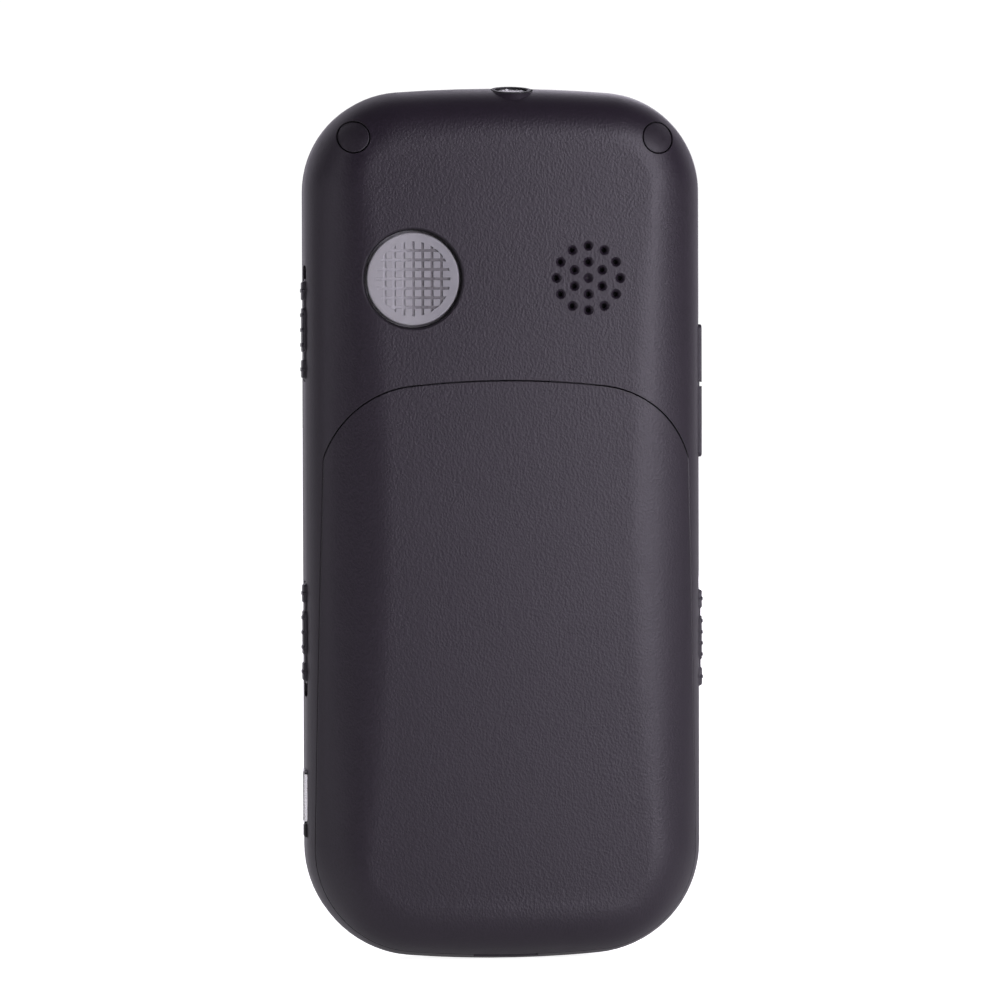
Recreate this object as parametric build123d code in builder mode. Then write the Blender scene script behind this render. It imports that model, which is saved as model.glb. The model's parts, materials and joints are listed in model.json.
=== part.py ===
from build123d import *
from math import cos, hypot, radians, sin
import os

# Bar mobile phone with large buttons, standing on its bottom edge.
# X runs across it, Y from the keypad face to the back, Z up its length.
# The origin is under the middle of the phone. All lengths are millimetres.

# Case
body_length = 121.0
body_width = 55.1
case_thickness = 13.8
side_wall = 1.4
front_wall = 1.6
back_wall = 1.4
top_crown = 1.9
bottom_crown = 2.4
top_corner = 13.8
bottom_corner = 15.5
back_round = 7.5
front_round = 2.4
parting_depth = 3.6
lip_height = 0.8
lip_thickness = 0.6

# Clearances
fit = 0.05
loose_fit = 0.15
travel_gap = 0.05

# Battery cover
cover_drop = 40.6
cover_crown = 2.8
cover_corner = 14.0
cover_top_margin = 2.05
cover_flare = 2.7
cover_wall = 1.2
cover_gap = 0.15
cover_edge_depth = 1.9
cover_edge_tilt = 1.6
cover_tab_width = 6.0
cover_tab_spacing = 18.0
cover_tab_reach = 1.6
cover_tab_thickness = 0.9
cover_tab_foot = 4.8
cover_tab_web = 4.15
cover_tongue_length = 5.0
cover_tongue_thickness = 0.8
cover_tongue_rise = 22.0
cover_tongue_drop = 18.4
nail_notch_width = 9.0
nail_notch_depth = 0.7

# Battery and the bay that holds it
battery_head_room = 6.9
battery_width = 34.0
battery_bottom = 20.5
battery_corner = 1.6
bay_clearance = 0.3
bay_wall = 1.2
bay_floor = 0.8
bay_floor_gap = 0.15
shelf_depth = 4.05
shelf_inset = 4.0
contact_block_width = 10.0
contact_block_depth = 2.5
contact_block_height = 4.6

# Screws and the bosses that take them
screw_radius = 0.8
screw_tip_gap = 0.95
screw_head_radius = 1.5
screw_head_height = 1.0
screw_seat_depth = 5.15
boss_radius = 2.3
boss_joint_depth = 7.25
top_screw_margin = 6.45
top_screw_drop = 7.0
bottom_screw_margin = 14.55
bottom_screw_rise = 5.8
plug_radius = 2.1
plug_sink = 0.12

# Emergency button on the back
sos_margin = 14.5
sos_drop = 26.5
sos_radius = 6.4
sos_gap = 0.3
sos_sink = 0.2
sos_dome = 0.25
sos_chamfer = 0.35
sos_travel = 0.5
sos_grid_radius = 5.15
sos_grid_pitch = 1.3
sos_grid_lines = 7
sos_groove = 0.4
sos_groove_depth = 0.2

# Loudspeaker and its grille in the back
speaker_margin = 16.35
speaker_drop = 26.4
speaker_radius = 8.0
speaker_height = 3.4
speaker_rib = 0.8
speaker_cone_slope = 20.0
grille_outer_ring = 4.44
grille_outer_holes = 12
grille_inner_ring = 2.23
grille_inner_holes = 6
grille_hole_radius = 0.36
grille_sink_radius = 0.69

# Torch at the top edge
torch_x = -1.25
torch_depth = 5.95
torch_drop = 0.18
torch_tilt = 11.0
torch_radius = 2.8
torch_length = 2.4
bezel_wall = 0.5
bezel_flange = 0.5
collar_rim = 0.1
collar_sink = 0.12
collar_height = 1.6
collar_spread = 1.0
lens_thickness = 1.2
lens_sink = 0.2
led_radius = 1.6
led_length = 3.4
led_round = 1.4

# Controls in the two long sides
side_proud = 0.45
side_control_rise = 2.55
side_control_height = 3.2
side_flange = 0.6
side_flange_gap = 0.6
side_flange_overlap = 0.2
slide_slot_length = 16.1
slide_end_gap = 0.2
slide_grip_length = 6.2
slide_travel = 1.8
slide_rib = 0.5
rocker_slot_length = 19.7
rocker_length = 18.5
rocker_notch = 0.9
rocker_notch_slope = 30.0
upper_slide_drop = 32.55
lower_slide_z = 44.7
right_slide_z = 45.4
rocker_slot_drop = 41.55

# Charging port in the left side
port_z = 22.9
port_width = 7.5
port_height = 2.6
port_length = 5.6
port_shell = 0.3
port_proud = 0.3
port_tab_length = 1.8
port_tab_height = 2.2
port_tab_depth = 1.0

# Display
window_margin = 4.55
window_foot_gap = 1.7
window_drop = 12.5
window_thickness = 1.0
window_corner = 3.0
view_side_margin = 2.5
view_end_margin = 4.25
display_side_margin = 0.8
display_end_margin = 1.3
display_thickness = 2.1
display_shell = 0.3
display_foam = 0.15
rib = 0.8

# Keypad
key_side_margin = 5.25
key_side_gap = 1.6
key_height = 9.2
key_gap = 1.4
key_corner = 2.6
key_corner_share = 0.48
key_proud = 0.7
key_edge = 0.5
key_travel = 0.4
key_flange = 0.5
key_flange_rim = 0.5
key_post_radius = 1.6
bottom_row_z = 14.2
call_gap = 1.7
call_height = 6.6
soft_height = 5.4
navigation_width = 16.0
navigation_gap = 0.28
navigation_post = 4.5
mat_side_gap = 0.3
mat_end_gap = 0.1
mat_web = 0.5
mat_gap = 0.15
mat_rim = 0.8
dome_sheet = 0.1
dome_height = 0.3
dome_radius = 2.6
dome_slope = 50.0

# Circuit board and what is soldered to it
board_thickness = 1.0
board_inset = 3.0
upper_shield_margin = 7.55
upper_shield_width = 24.0
upper_shield_length = 18.0
upper_shield_drop = 27.0
lower_shield_width = 32.0
shield_height = 1.4
shield_wall = 0.3
holder_height = 1.45

# Sound and buzz
earpiece_width = 11.9
earpiece_height = 2.9
earpiece_drop = 7.8
earpiece_plate = 0.5
receiver_width = 10.0
receiver_depth = 6.0
microphone_z = 6.0
microphone_radius = 2.0
microphone_height = 1.8
motor_radius = 2.0
motor_length = 8.0
motor_margin = 15.05
motor_drop = 13.5
weight_radius = 2.4
weight_length = 3.0

# Depths through the phone, from the front face to the back face
front_y = -(case_thickness + key_proud) / 2 + key_proud
back_y = front_y + case_thickness
front_inner_y = front_y + front_wall
back_inner_y = back_y - back_wall
parting_y = front_y + parting_depth
board_front_y = front_inner_y + fit + display_thickness + display_foam
board_back_y = board_front_y + board_thickness
battery_back_y = back_y - cover_wall - loose_fit
bay_floor_y = board_back_y + holder_height + bay_floor_gap + bay_floor
battery_thickness = battery_back_y - loose_fit - bay_floor_y
shelf_y = back_y - shelf_depth
screw_seat_y = back_y - screw_seat_depth
screw_length = screw_seat_y - front_inner_y - screw_tip_gap
boss_joint_y = back_y - boss_joint_depth
side_control_y = parting_y + side_control_rise
torch_y = back_y - torch_depth
mat_front_y = front_inner_y + travel_gap + key_flange + key_travel + mat_gap
post_end_y = board_front_y - dome_sheet - dome_height - key_travel - travel_gap

# Widths across the phone
cover_top_half_width = body_width / 2 - cover_top_margin
top_screw_x = body_width / 2 - top_screw_margin
bottom_screw_x = body_width / 2 - bottom_screw_margin
motor_x = body_width / 2 - motor_margin
sos_x = body_width / 2 - sos_margin
speaker_x = speaker_margin - body_width / 2
key_width = (body_width - 2 * key_side_margin - 2 * key_side_gap) / 3
column_pitch = key_width + key_side_gap
key_edge_x = column_pitch + key_width / 2
call_width = key_edge_x - navigation_width / 2 - call_gap
call_x = key_edge_x - call_width / 2
mat_half_width = key_edge_x + key_flange_rim + mat_side_gap + mat_rim
window_width = body_width - 2 * window_margin
view_width = window_width - 2 * view_side_margin
display_width = window_width - 2 * display_side_margin

# Heights up the phone
row_pitch = key_height + key_gap
top_row_z = bottom_row_z + 3 * row_pitch
call_z = top_row_z + row_pitch / 2 + key_gap / 2 + call_height / 2
soft_z = call_z + call_height / 2 + key_gap + soft_height / 2
navigation_bottom = call_z - call_height / 2
navigation_height = soft_z + soft_height / 2 - navigation_bottom
navigation_z = navigation_bottom + navigation_height / 2
mat_bottom = bottom_row_z - key_height / 2 - key_flange_rim - mat_end_gap - mat_rim
mat_top = soft_z + soft_height / 2 + key_flange_rim + mat_end_gap + mat_rim
window_bottom = mat_top + window_foot_gap
cover_top = body_length - cover_drop
cover_tongue_top = cover_top - cover_tongue_drop
battery_length = cover_top - battery_head_room - battery_bottom
window_height = body_length - window_drop - window_bottom
view_height = window_height - 2 * view_end_margin
display_height = window_height - 2 * display_end_margin
slide_length = slide_slot_length - slide_travel - slide_end_gap
upper_slide_z = body_length - upper_slide_drop
rocker_slot_z = body_length - rocker_slot_drop
motor_z = body_length - motor_drop
sos_z = body_length - sos_drop
speaker_z = body_length - speaker_drop
top_screw_z = body_length - top_screw_drop
earpiece_z = body_length - earpiece_drop
window_z = window_bottom + window_height / 2
bay_bottom = battery_bottom - bay_clearance
bay_top = battery_bottom + battery_length + bay_clearance + contact_block_depth
screw_places = [(x, top_screw_z) for x in (-top_screw_x, top_screw_x)]
screw_places += [(x, bottom_screw_rise) for x in (-bottom_screw_x, bottom_screw_x)]
far = body_length


def back_plane(y):
    """Plane at depth y that faces out of the back; its own right is -X."""
    return Plane(origin=(0, y, 0), x_dir=(-1, 0, 0), z_dir=(0, 1, 0))


def front_plane(y):
    """Plane at depth y that faces out of the keypad side; its own right is +X."""
    return Plane(origin=(0, y, 0), x_dir=(1, 0, 0), z_dir=(0, -1, 0))


def side_plane(side, inset=0.0):
    """Plane on one long side, facing out: its own right is Y or -Y, its up is Z."""
    place = (side * (body_width / 2 - inset), 0, 0)
    return Plane(origin=place, x_dir=(0, side, 0), z_dir=(side, 0, 0))


def cover_plane(drop):
    """Plane of the battery cover's edge, lowered by drop, sinking towards the foot."""
    tilt = radians(cover_edge_tilt)
    place = (0, back_y - cover_edge_depth - drop, cover_top)
    return Plane(origin=place, x_dir=(-1, 0, 0), z_dir=(0, cos(tilt), -sin(tilt)))


def torch_plane(depth):
    """Plane across the torch, a depth below its face; it leans towards the back."""
    lean = radians(torch_tilt)
    face = body_length - torch_drop
    place = (torch_x, torch_y - depth * sin(lean), face - depth * cos(lean))
    return Plane(origin=place, x_dir=(1, 0, 0), z_dir=(0, sin(lean), cos(lean)))


def save(builder, name):
    """Name a finished piece and write it to its own file."""
    builder.part.label = name
    export_step(builder.part, f"parts/{name}.step")


def case_outline(inset=0.0):
    """Outline of the phone seen from the back, drawn in by inset."""
    half = body_width / 2
    shoulder = body_length - top_crown
    with BuildSketch() as outline:
        with BuildLine():
            Line((-half, bottom_crown), (-half, shoulder))
            SagittaArc((-half, shoulder), (half, shoulder), top_crown)
            Line((half, shoulder), (half, bottom_crown))
            SagittaArc((half, bottom_crown), (-half, bottom_crown), bottom_crown)
        make_face()
        fillet(outline.vertices().group_by(Axis.Y)[-1], top_corner)
        fillet(outline.vertices().group_by(Axis.Y)[0], bottom_corner)
        if inset:
            offset(amount=-inset)
    return outline.sketch


def cover_outline(grow=0.0):
    """Outline that the battery cover is cut to, wider than the phone at its foot."""
    half = cover_top_half_width
    foot = half + cover_flare
    shoulder = cover_top - cover_crown
    with BuildSketch() as outline:
        with BuildLine():
            Line((-foot, -cover_crown), (-half, shoulder))
            SagittaArc((-half, shoulder), (half, shoulder), cover_crown)
            Line((half, shoulder), (foot, -cover_crown))
            Line((foot, -cover_crown), (-foot, -cover_crown))
        make_face()
        fillet(outline.vertices().group_by(Axis.Y)[-1], cover_corner)
        if grow:
            offset(amount=grow)
    return outline.sketch


def display_outline(grow):
    """Outline of the display module about its own middle, widened by grow all round."""
    with BuildSketch() as outline:
        Rectangle(display_width + 2 * grow, display_height + 2 * grow)
    return outline.sketch


def key_outline(place, grow=0.0):
    """Rounded outline of one key seen from the front, widened by grow all round."""
    across, up, width, height = place
    corner = min(key_corner, key_corner_share * min(width, height))
    with BuildSketch() as outline:
        with Locations((across, up)):
            RectangleRounded(width + 2 * grow, height + 2 * grow, corner + grow)
    return outline.sketch


def case_solid(inset, from_y, to_y):
    """Rounded block of the phone's outer form, drawn in by inset at the sides."""
    outline = case_outline(inset)
    with BuildPart() as block:
        with BuildSketch(back_plane(from_y)):
            add(outline)
        extrude(amount=to_y - from_y)
        fillet(block.faces().sort_by(Axis.Y)[-1].edges(), back_round - inset)
        fillet(block.faces().sort_by(Axis.Y)[0].edges(), front_round - inset)
    return block.part


def prism(outline, from_y, to_y):
    """Straight block of an outline seen from the back, between two depths."""
    with BuildPart() as block:
        with BuildSketch(back_plane(from_y)):
            add(outline)
        extrude(amount=to_y - from_y)
    return block.part


def above_cover_plane(outline, drop):
    """Block of an outline, from the cover's edge plane out past the back."""
    with BuildPart() as block:
        add(prism(outline, shelf_y - back_round, back_y + back_round))
        split(bisect_by=cover_plane(drop), keep=Keep.TOP)
    return block.part


os.makedirs("parts", exist_ok=True)
outer_block = case_solid(0.0, front_y, back_y)
inner_block = case_solid(side_wall, front_inner_y, back_inner_y)
recess_outline = cover_outline(cover_gap)
shelf_outline = recess_outline & case_outline(shelf_inset)

# Depths and sizes that several pieces share
flange_front_y = front_inner_y + travel_gap
slot_height = side_control_height + 2 * loose_fit
side_flange_height = slot_height + 2 * side_flange_overlap
bay_width = battery_width + 2 * bay_clearance
bay_middle = (bay_bottom + bay_top) / 2
bay_height = bay_top - bay_bottom
plug_seat_y = screw_seat_y + screw_head_height + fit
flange_depth = torch_length - bezel_flange
tab_y = back_inner_y - loose_fit - cover_tab_thickness
tab_pocket_y = back_y - hypot(back_y - tab_y, cover_tab_reach) - loose_fit
port_y = board_back_y + port_height / 2
port_tab_z = port_z - (port_width + port_tab_length) / 2 - loose_fit
slots = [
    (1, upper_slide_z, slide_slot_length),
    (1, lower_slide_z, slide_slot_length),
    (-1, right_slide_z, slide_slot_length),
    (-1, rocker_slot_z, rocker_slot_length),
]

# Card holders under the battery: across, up, width, height
sim_place = (8.0, 33.0, 15.5, 22.0)
card_place = (-9.0, 34.0, 13.5, 16.0)
holder_margin = 4.0
contact_margin = 1.8

# Keys of the number block and round the navigation key
key_places = {}
for order, symbol in enumerate("1 2 3 4 5 6 7 8 9 star 0 hash".split()):
    row, column = divmod(order, 3)
    across = (column - 1) * column_pitch
    up = bottom_row_z + (3 - row) * row_pitch
    key_places[f"key_{symbol}"] = (across, up, key_width, key_height)
key_places["call_key"] = (-call_x, call_z, call_width, call_height)
key_places["end_key"] = (call_x, call_z, call_width, call_height)
key_places["left_soft_key"] = (-call_x, soft_z, call_width, soft_height)
key_places["right_soft_key"] = (call_x, soft_z, call_width, soft_height)
navigation_place = (0.0, navigation_z, navigation_width, navigation_height)


# Rear housing: what stays under the cover is a ledge, a shelf and the battery tub
ledge_block = above_cover_plane(cover_outline(cover_gap + bay_wall), cover_gap + bay_wall)
shelf_edge = cover_outline(cover_gap + bay_wall) & case_outline(shelf_inset - bay_wall)
shelf_block = prism(shelf_edge, shelf_y - bay_wall, back_y)
cover_recess = above_cover_plane(recess_outline, cover_gap)
shelf_recess = prism(shelf_outline, shelf_y, back_y + back_wall)
lip_groove = case_outline(side_wall - lip_thickness - fit)

with BuildPart() as rear_cavity:
    add(inner_block)
    add(ledge_block, mode=Mode.SUBTRACT)
    add(shelf_block, mode=Mode.SUBTRACT)
    with BuildSketch(back_plane(bay_floor_y - bay_floor)):
        with Locations((0, bay_middle)):
            Rectangle(bay_width + 2 * bay_wall, bay_height + 2 * bay_wall)
    extrude(amount=shelf_y - bay_floor_y + bay_floor, mode=Mode.SUBTRACT)
    with BuildSketch(back_plane(boss_joint_y)):
        for across, up in screw_places:
            with Locations((across, up)):
                Circle(boss_radius if up < cover_top else plug_radius + bay_wall)
    extrude(amount=far, mode=Mode.SUBTRACT)
    with BuildSketch(back_plane(back_inner_y - speaker_height + rib)):
        with Locations((-speaker_x, speaker_z)):
            Circle(speaker_radius + loose_fit + speaker_rib)
            Circle(speaker_radius + loose_fit, mode=Mode.SUBTRACT)
    extrude(amount=far, mode=Mode.SUBTRACT)
    # Floor under the pockets that the cover's tabs swing out of
    with BuildSketch(back_plane(tab_pocket_y - bay_floor)):
        with Locations((0, cover_top)):
            with GridLocations(cover_tab_spacing, 0, 2, 1):
                Rectangle(cover_tab_width + 2 * bay_wall, 2 * (cover_tab_reach + bay_wall))
    extrude(amount=far, mode=Mode.SUBTRACT)

with BuildPart() as rear_housing:
    add(outer_block)
    # Cone-shaped collar that the torch stands in
    with Locations(torch_plane(collar_sink)):
        collar_radius = torch_radius + loose_fit + collar_rim
        Cone(collar_radius + collar_spread, collar_radius, collar_height,
             align=(Align.CENTER, Align.CENTER, Align.MAX))
    split(bisect_by=back_plane(parting_y), keep=Keep.TOP)
    add(rear_cavity.part, mode=Mode.SUBTRACT)
    add(cover_recess, mode=Mode.SUBTRACT)
    add(shelf_recess, mode=Mode.SUBTRACT)
    # Groove that takes the front shell's lip
    with BuildSketch(back_plane(parting_y)):
        add(lip_groove)
    extrude(amount=lip_height + fit, mode=Mode.SUBTRACT)
    # Battery pocket, and the windows in its floor
    with BuildSketch(back_plane(bay_floor_y)):
        with Locations((0, bay_middle)):
            RectangleRounded(bay_width, bay_height, battery_corner)
    extrude(amount=far, mode=Mode.SUBTRACT)
    with BuildSketch(back_plane(bay_floor_y - bay_floor)):
        for across, up, width, height in (sim_place, card_place):
            with Locations((-across, up)):
                Rectangle(width + 2 * rib, height + 2 * rib)
        with Locations((0, bay_top - contact_block_depth / 2)):
            Rectangle(contact_block_width + 2 * loose_fit, contact_block_depth + 2 * loose_fit)
    extrude(amount=2 * bay_floor, mode=Mode.SUBTRACT)
    # Pockets for the cover's two tabs, deep enough to swing them out
    with BuildSketch(back_plane(tab_pocket_y)):
        with Locations((0, cover_top)):
            with GridLocations(cover_tab_spacing, 0, 2, 1):
                Rectangle(cover_tab_width + 2 * loose_fit, 2 * (cover_tab_reach + loose_fit))
    extrude(amount=back_inner_y - tab_pocket_y, mode=Mode.SUBTRACT)
    # Nail notch under the cover's foot
    cover_foot_y = cover_plane(cover_gap).origin.Y - cover_top * sin(radians(cover_edge_tilt))
    with BuildSketch(Plane.XY):
        with Locations((0, cover_foot_y)):
            Rectangle(nail_notch_width, 2 * nail_notch_depth)
    extrude(amount=2 * nail_notch_depth, mode=Mode.SUBTRACT)
    # Screw holes, head seats and plug pockets
    with BuildSketch(back_plane(boss_joint_y)):
        with Locations(*screw_places):
            Circle(screw_radius + fit)
    extrude(amount=far, mode=Mode.SUBTRACT)
    with BuildSketch(back_plane(screw_seat_y)):
        with Locations(*screw_places):
            Circle(screw_head_radius + loose_fit)
    extrude(amount=far, mode=Mode.SUBTRACT)
    with BuildSketch(back_plane(plug_seat_y)):
        with Locations(*screw_places[:2]):
            Circle(plug_radius + loose_fit)
    extrude(amount=far, mode=Mode.SUBTRACT)
    # Well of the emergency button
    with Locations(back_plane(back_y)):
        with Locations((-sos_x, sos_z)):
            well_radius = sos_radius + sos_gap
            CounterSinkHole(well_radius, well_radius + sos_chamfer, depth=2 * back_wall)
    # Loudspeaker grille: two rings of sunk holes round a blind dimple
    with Locations(back_plane(back_y)):
        with Locations((-speaker_x, speaker_z)):
            with PolarLocations(grille_outer_ring, grille_outer_holes, start_angle=90):
                CounterSinkHole(grille_hole_radius, grille_sink_radius, depth=2 * back_wall)
            with PolarLocations(grille_inner_ring, grille_inner_holes, start_angle=90):
                CounterSinkHole(grille_hole_radius, grille_sink_radius, depth=2 * back_wall)
            CounterSinkHole(grille_hole_radius / 2, grille_sink_radius, depth=back_wall / 2)
    # Slots of the side controls
    for side, up, length in slots:
        with BuildSketch(side_plane(side, 2 * side_wall)):
            with Locations((side * side_control_y, up)):
                RectangleRounded(slot_height, length, slot_height / 5)
        extrude(amount=3 * side_wall, mode=Mode.SUBTRACT)
    # Mouth of the charging port, and the seat of the tab beside it
    with BuildSketch(side_plane(1, 2 * side_wall)):
        with Locations((port_y, port_z)):
            RectangleRounded(port_height + 2 * fit, port_width + 2 * fit, port_height / 3)
    extrude(amount=3 * side_wall, mode=Mode.SUBTRACT)
    with BuildSketch(side_plane(1, port_tab_depth)):
        with Locations((port_y, port_tab_z)):
            Rectangle(port_tab_height + 2 * fit, port_tab_length + 2 * fit)
    extrude(amount=side_wall + port_tab_depth, mode=Mode.SUBTRACT)
    # Hole for the torch, wider inside where its flange sits
    with BuildSketch(torch_plane(back_round)):
        Circle(torch_radius + loose_fit)
    extrude(amount=2 * back_round, mode=Mode.SUBTRACT)
    with BuildSketch(torch_plane(back_round)):
        Circle(torch_radius + bezel_flange + loose_fit)
    extrude(amount=back_round - flange_depth + fit, mode=Mode.SUBTRACT)
save(rear_housing, "rear_housing")

# Battery cover
cover_space = above_cover_plane(cover_outline(), 0.0)
cover_hollow = case_solid(cover_wall, front_inner_y, back_y - cover_wall)
tab_foot = cover_top - cover_tab_foot
tongue_x = body_width / 2 - shelf_inset - loose_fit - cover_tongue_thickness / 2
tongue_y = shelf_y + 2 * loose_fit
with BuildPart() as battery_cover:
    add(cover_space)
    add(outer_block, mode=Mode.INTERSECT)
    add(cover_hollow, mode=Mode.SUBTRACT)
    for side in (-1, 1):
        # Tab that hooks under the edge of the rear housing
        with BuildSketch(back_plane(tab_y)):
            with Locations((side * cover_tab_spacing / 2, tab_foot)):
                Rectangle(cover_tab_width, cover_tab_foot + cover_tab_reach,
                          align=(Align.CENTER, Align.MIN))
        extrude(amount=cover_tab_thickness)
        with BuildSketch(back_plane(tab_y)):
            with Locations((side * cover_tab_spacing / 2, tab_foot)):
                Rectangle(cover_tab_width, cover_tab_web, align=(Align.CENTER, Align.MIN))
        extrude(amount=back_y - cover_wall + fit - tab_y)
        # Tongues that centre the cover between the ledges
        with BuildSketch(back_plane(tongue_y)):
            with Locations((side * tongue_x, (cover_tongue_rise + cover_tongue_top) / 2)):
                with GridLocations(0, (cover_tongue_top - cover_tongue_rise) / 2, 1, 3):
                    Rectangle(cover_tongue_thickness, cover_tongue_length)
        extrude(until=Until.NEXT)
save(battery_cover, "battery_cover")

# Front housing: shell, lip, screw bosses and the rib that holds the display
display_rib_back_y = board_front_y - fit
screw_tip_y = screw_seat_y - screw_length
wall_middle_y = front_y + front_wall / 2
lip_outline = case_outline(side_wall - lip_thickness)
cavity_outline = case_outline(side_wall)
boss_limit = case_outline(side_wall + loose_fit)
with BuildPart() as front_housing:
    add(outer_block)
    split(bisect_by=back_plane(parting_y), keep=Keep.BOTTOM)
    add(inner_block, mode=Mode.SUBTRACT)
    with BuildSketch(back_plane(parting_y - lip_height)):
        add(lip_outline)
        add(cavity_outline, mode=Mode.SUBTRACT)
    extrude(amount=2 * lip_height)
    with BuildSketch(back_plane(wall_middle_y)):
        with Locations((0, window_z)):
            add(display_outline(loose_fit + rib))
            add(display_outline(loose_fit), mode=Mode.SUBTRACT)
    extrude(amount=display_rib_back_y - wall_middle_y)
    with BuildSketch(back_plane(wall_middle_y)):
        with Locations(*screw_places):
            Circle(boss_radius)
        add(boss_limit, mode=Mode.INTERSECT)
    extrude(amount=boss_joint_y - fit - wall_middle_y)
    with BuildSketch(back_plane(screw_tip_y - loose_fit)):
        with Locations(*screw_places):
            Circle(screw_radius + fit)
    extrude(amount=far, mode=Mode.SUBTRACT)
    # Seat and opening of the display window
    with BuildSketch(back_plane(front_y)):
        with Locations((0, window_z)):
            RectangleRounded(window_width + 2 * fit, window_height + 2 * fit, window_corner + fit)
    extrude(amount=window_thickness + fit, mode=Mode.SUBTRACT)
    with BuildSketch(back_plane(front_y)):
        with Locations((0, window_z)):
            Rectangle(view_width, view_height)
    extrude(amount=2 * front_wall, mode=Mode.SUBTRACT)
    # Key openings
    with BuildSketch(front_plane(front_y)):
        for place in (*key_places.values(), navigation_place):
            add(key_outline(place, loose_fit))
    extrude(amount=-2 * front_wall, mode=Mode.SUBTRACT)
    # Earpiece seat with its slot, and the microphone hole
    with BuildSketch(back_plane(front_y)):
        with Locations((0, earpiece_z)):
            SlotOverall(earpiece_width + 2 * fit, earpiece_height + 2 * fit)
    extrude(amount=earpiece_plate + fit, mode=Mode.SUBTRACT)
    with BuildSketch(back_plane(front_y)):
        with Locations((0, earpiece_z)):
            SlotOverall(earpiece_width - 2 * rib, earpiece_height - 2 * rib)
        with Locations((0, microphone_z)):
            Circle(microphone_radius / 4)
    extrude(amount=2 * front_wall, mode=Mode.SUBTRACT)
save(front_housing, "front_housing")

# Screws of both ends and the rubber plugs over the top pair
with BuildPart() as case_screws:
    with BuildSketch(back_plane(screw_tip_y)):
        with Locations(*screw_places):
            Circle(screw_radius)
    extrude(amount=screw_length)
    with BuildSketch(back_plane(screw_seat_y)):
        with Locations(*screw_places):
            Circle(screw_head_radius)
    extrude(amount=screw_head_height)
    chamfer(case_screws.edges().group_by(Axis.Y)[-1], screw_head_height / 4)
save(case_screws, "case_screws")

with BuildPart() as screw_plugs:
    with BuildSketch(back_plane(plug_seat_y)):
        with Locations(*screw_places[:2]):
            Circle(plug_radius)
    extrude(amount=far)
    add(outer_block.moved(Location((0, -plug_sink, 0))), mode=Mode.INTERSECT)
save(screw_plugs, "screw_plugs")

# Display: window, glass panel and steel frame
display_front_y = front_inner_y + fit
with BuildPart() as display_window:
    with BuildSketch(back_plane(front_y)):
        with Locations((0, window_z)):
            RectangleRounded(window_width, window_height, window_corner)
    extrude(amount=window_thickness)
    chamfer(display_window.faces().sort_by(Axis.Y)[0].edges(), window_thickness / 5)
save(display_window, "display_window")

with BuildPart() as display_frame:
    with BuildSketch(back_plane(display_front_y)):
        with Locations((0, window_z)):
            add(display_outline(0.0))
    extrude(amount=display_thickness)
    with BuildSketch(back_plane(display_front_y)):
        with Locations((0, window_z)):
            add(display_outline(-display_shell))
    extrude(amount=display_thickness - display_shell, mode=Mode.SUBTRACT)
save(display_frame, "display_frame")

with BuildPart() as display_panel:
    with BuildSketch(back_plane(display_front_y)):
        with Locations((0, window_z)):
            add(display_outline(-display_shell - fit))
    extrude(amount=display_thickness - display_shell - fit)
save(display_panel, "display_panel")

# Earpiece
with BuildPart() as earpiece_grille:
    with BuildSketch(back_plane(front_y)):
        with Locations((0, earpiece_z)):
            SlotOverall(earpiece_width, earpiece_height)
            with GridLocations(earpiece_width / 6, 0, 5, 1):
                SlotOverall(earpiece_height / 2, earpiece_height / 5, rotation=90, mode=Mode.SUBTRACT)
    extrude(amount=earpiece_plate)
save(earpiece_grille, "earpiece_grille")

with BuildPart() as earpiece_receiver:
    with BuildSketch(back_plane(front_inner_y + fit)):
        with Locations((0, earpiece_z)):
            RectangleRounded(receiver_width, receiver_depth, receiver_depth / 3)
    extrude(amount=display_thickness)
save(earpiece_receiver, "earpiece_receiver")

# Keys: a cap through the front wall, a flange behind it and a post over its dome
key_top_y = front_y - key_proud


def press_key(name, place, flange_y, posts):
    """One key; flange_y is the depth where its flange starts, posts where it presses."""
    cap = key_outline(place)
    flange = key_outline(place, key_flange_rim)
    with BuildPart() as key:
        with BuildSketch(front_plane(flange_y)):
            add(cap)
        extrude(amount=flange_y - key_top_y)
        chamfer(key.faces().sort_by(Axis.Y)[0].edges(), key_edge)
        with BuildSketch(front_plane(flange_y + key_flange)):
            add(flange)
        extrude(amount=key_flange)
        with BuildSketch(back_plane(flange_y + key_flange)):
            for across, up in posts:
                with Locations((-across, up)):
                    Circle(key_post_radius)
        extrude(amount=post_end_y - flange_y - key_flange)
    save(key, name)


for key_name, place in key_places.items():
    press_key(key_name, place, flange_front_y, [place[:2]])
navigation_posts = [(0, navigation_z + side * navigation_post) for side in (-1, 1)]
press_key("navigation_key", navigation_place, front_inner_y + navigation_gap, navigation_posts)
posts = [place[:2] for place in key_places.values()] + navigation_posts

# Rubber mat and dome sheet under the keys
mat_middle = (mat_bottom + mat_top) / 2
mat_height = mat_top - mat_bottom
mat_corner = key_corner + mat_rim
with BuildPart() as keypad_mat:
    with BuildSketch(front_plane(mat_front_y + mat_web)):
        with Locations((0, mat_middle)):
            RectangleRounded(2 * mat_half_width, mat_height, mat_corner)
        with Locations(*posts):
            Circle(key_post_radius + 2 * loose_fit, mode=Mode.SUBTRACT)
    extrude(amount=mat_web)
    with BuildSketch(front_plane(board_front_y - loose_fit)):
        with Locations((0, mat_middle)):
            RectangleRounded(2 * mat_half_width, mat_height, mat_corner)
            RectangleRounded(2 * (mat_half_width - mat_rim), mat_height - 2 * mat_rim, key_corner,
                             mode=Mode.SUBTRACT)
    extrude(amount=board_front_y - loose_fit - display_front_y)
save(keypad_mat, "keypad_mat")

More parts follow.
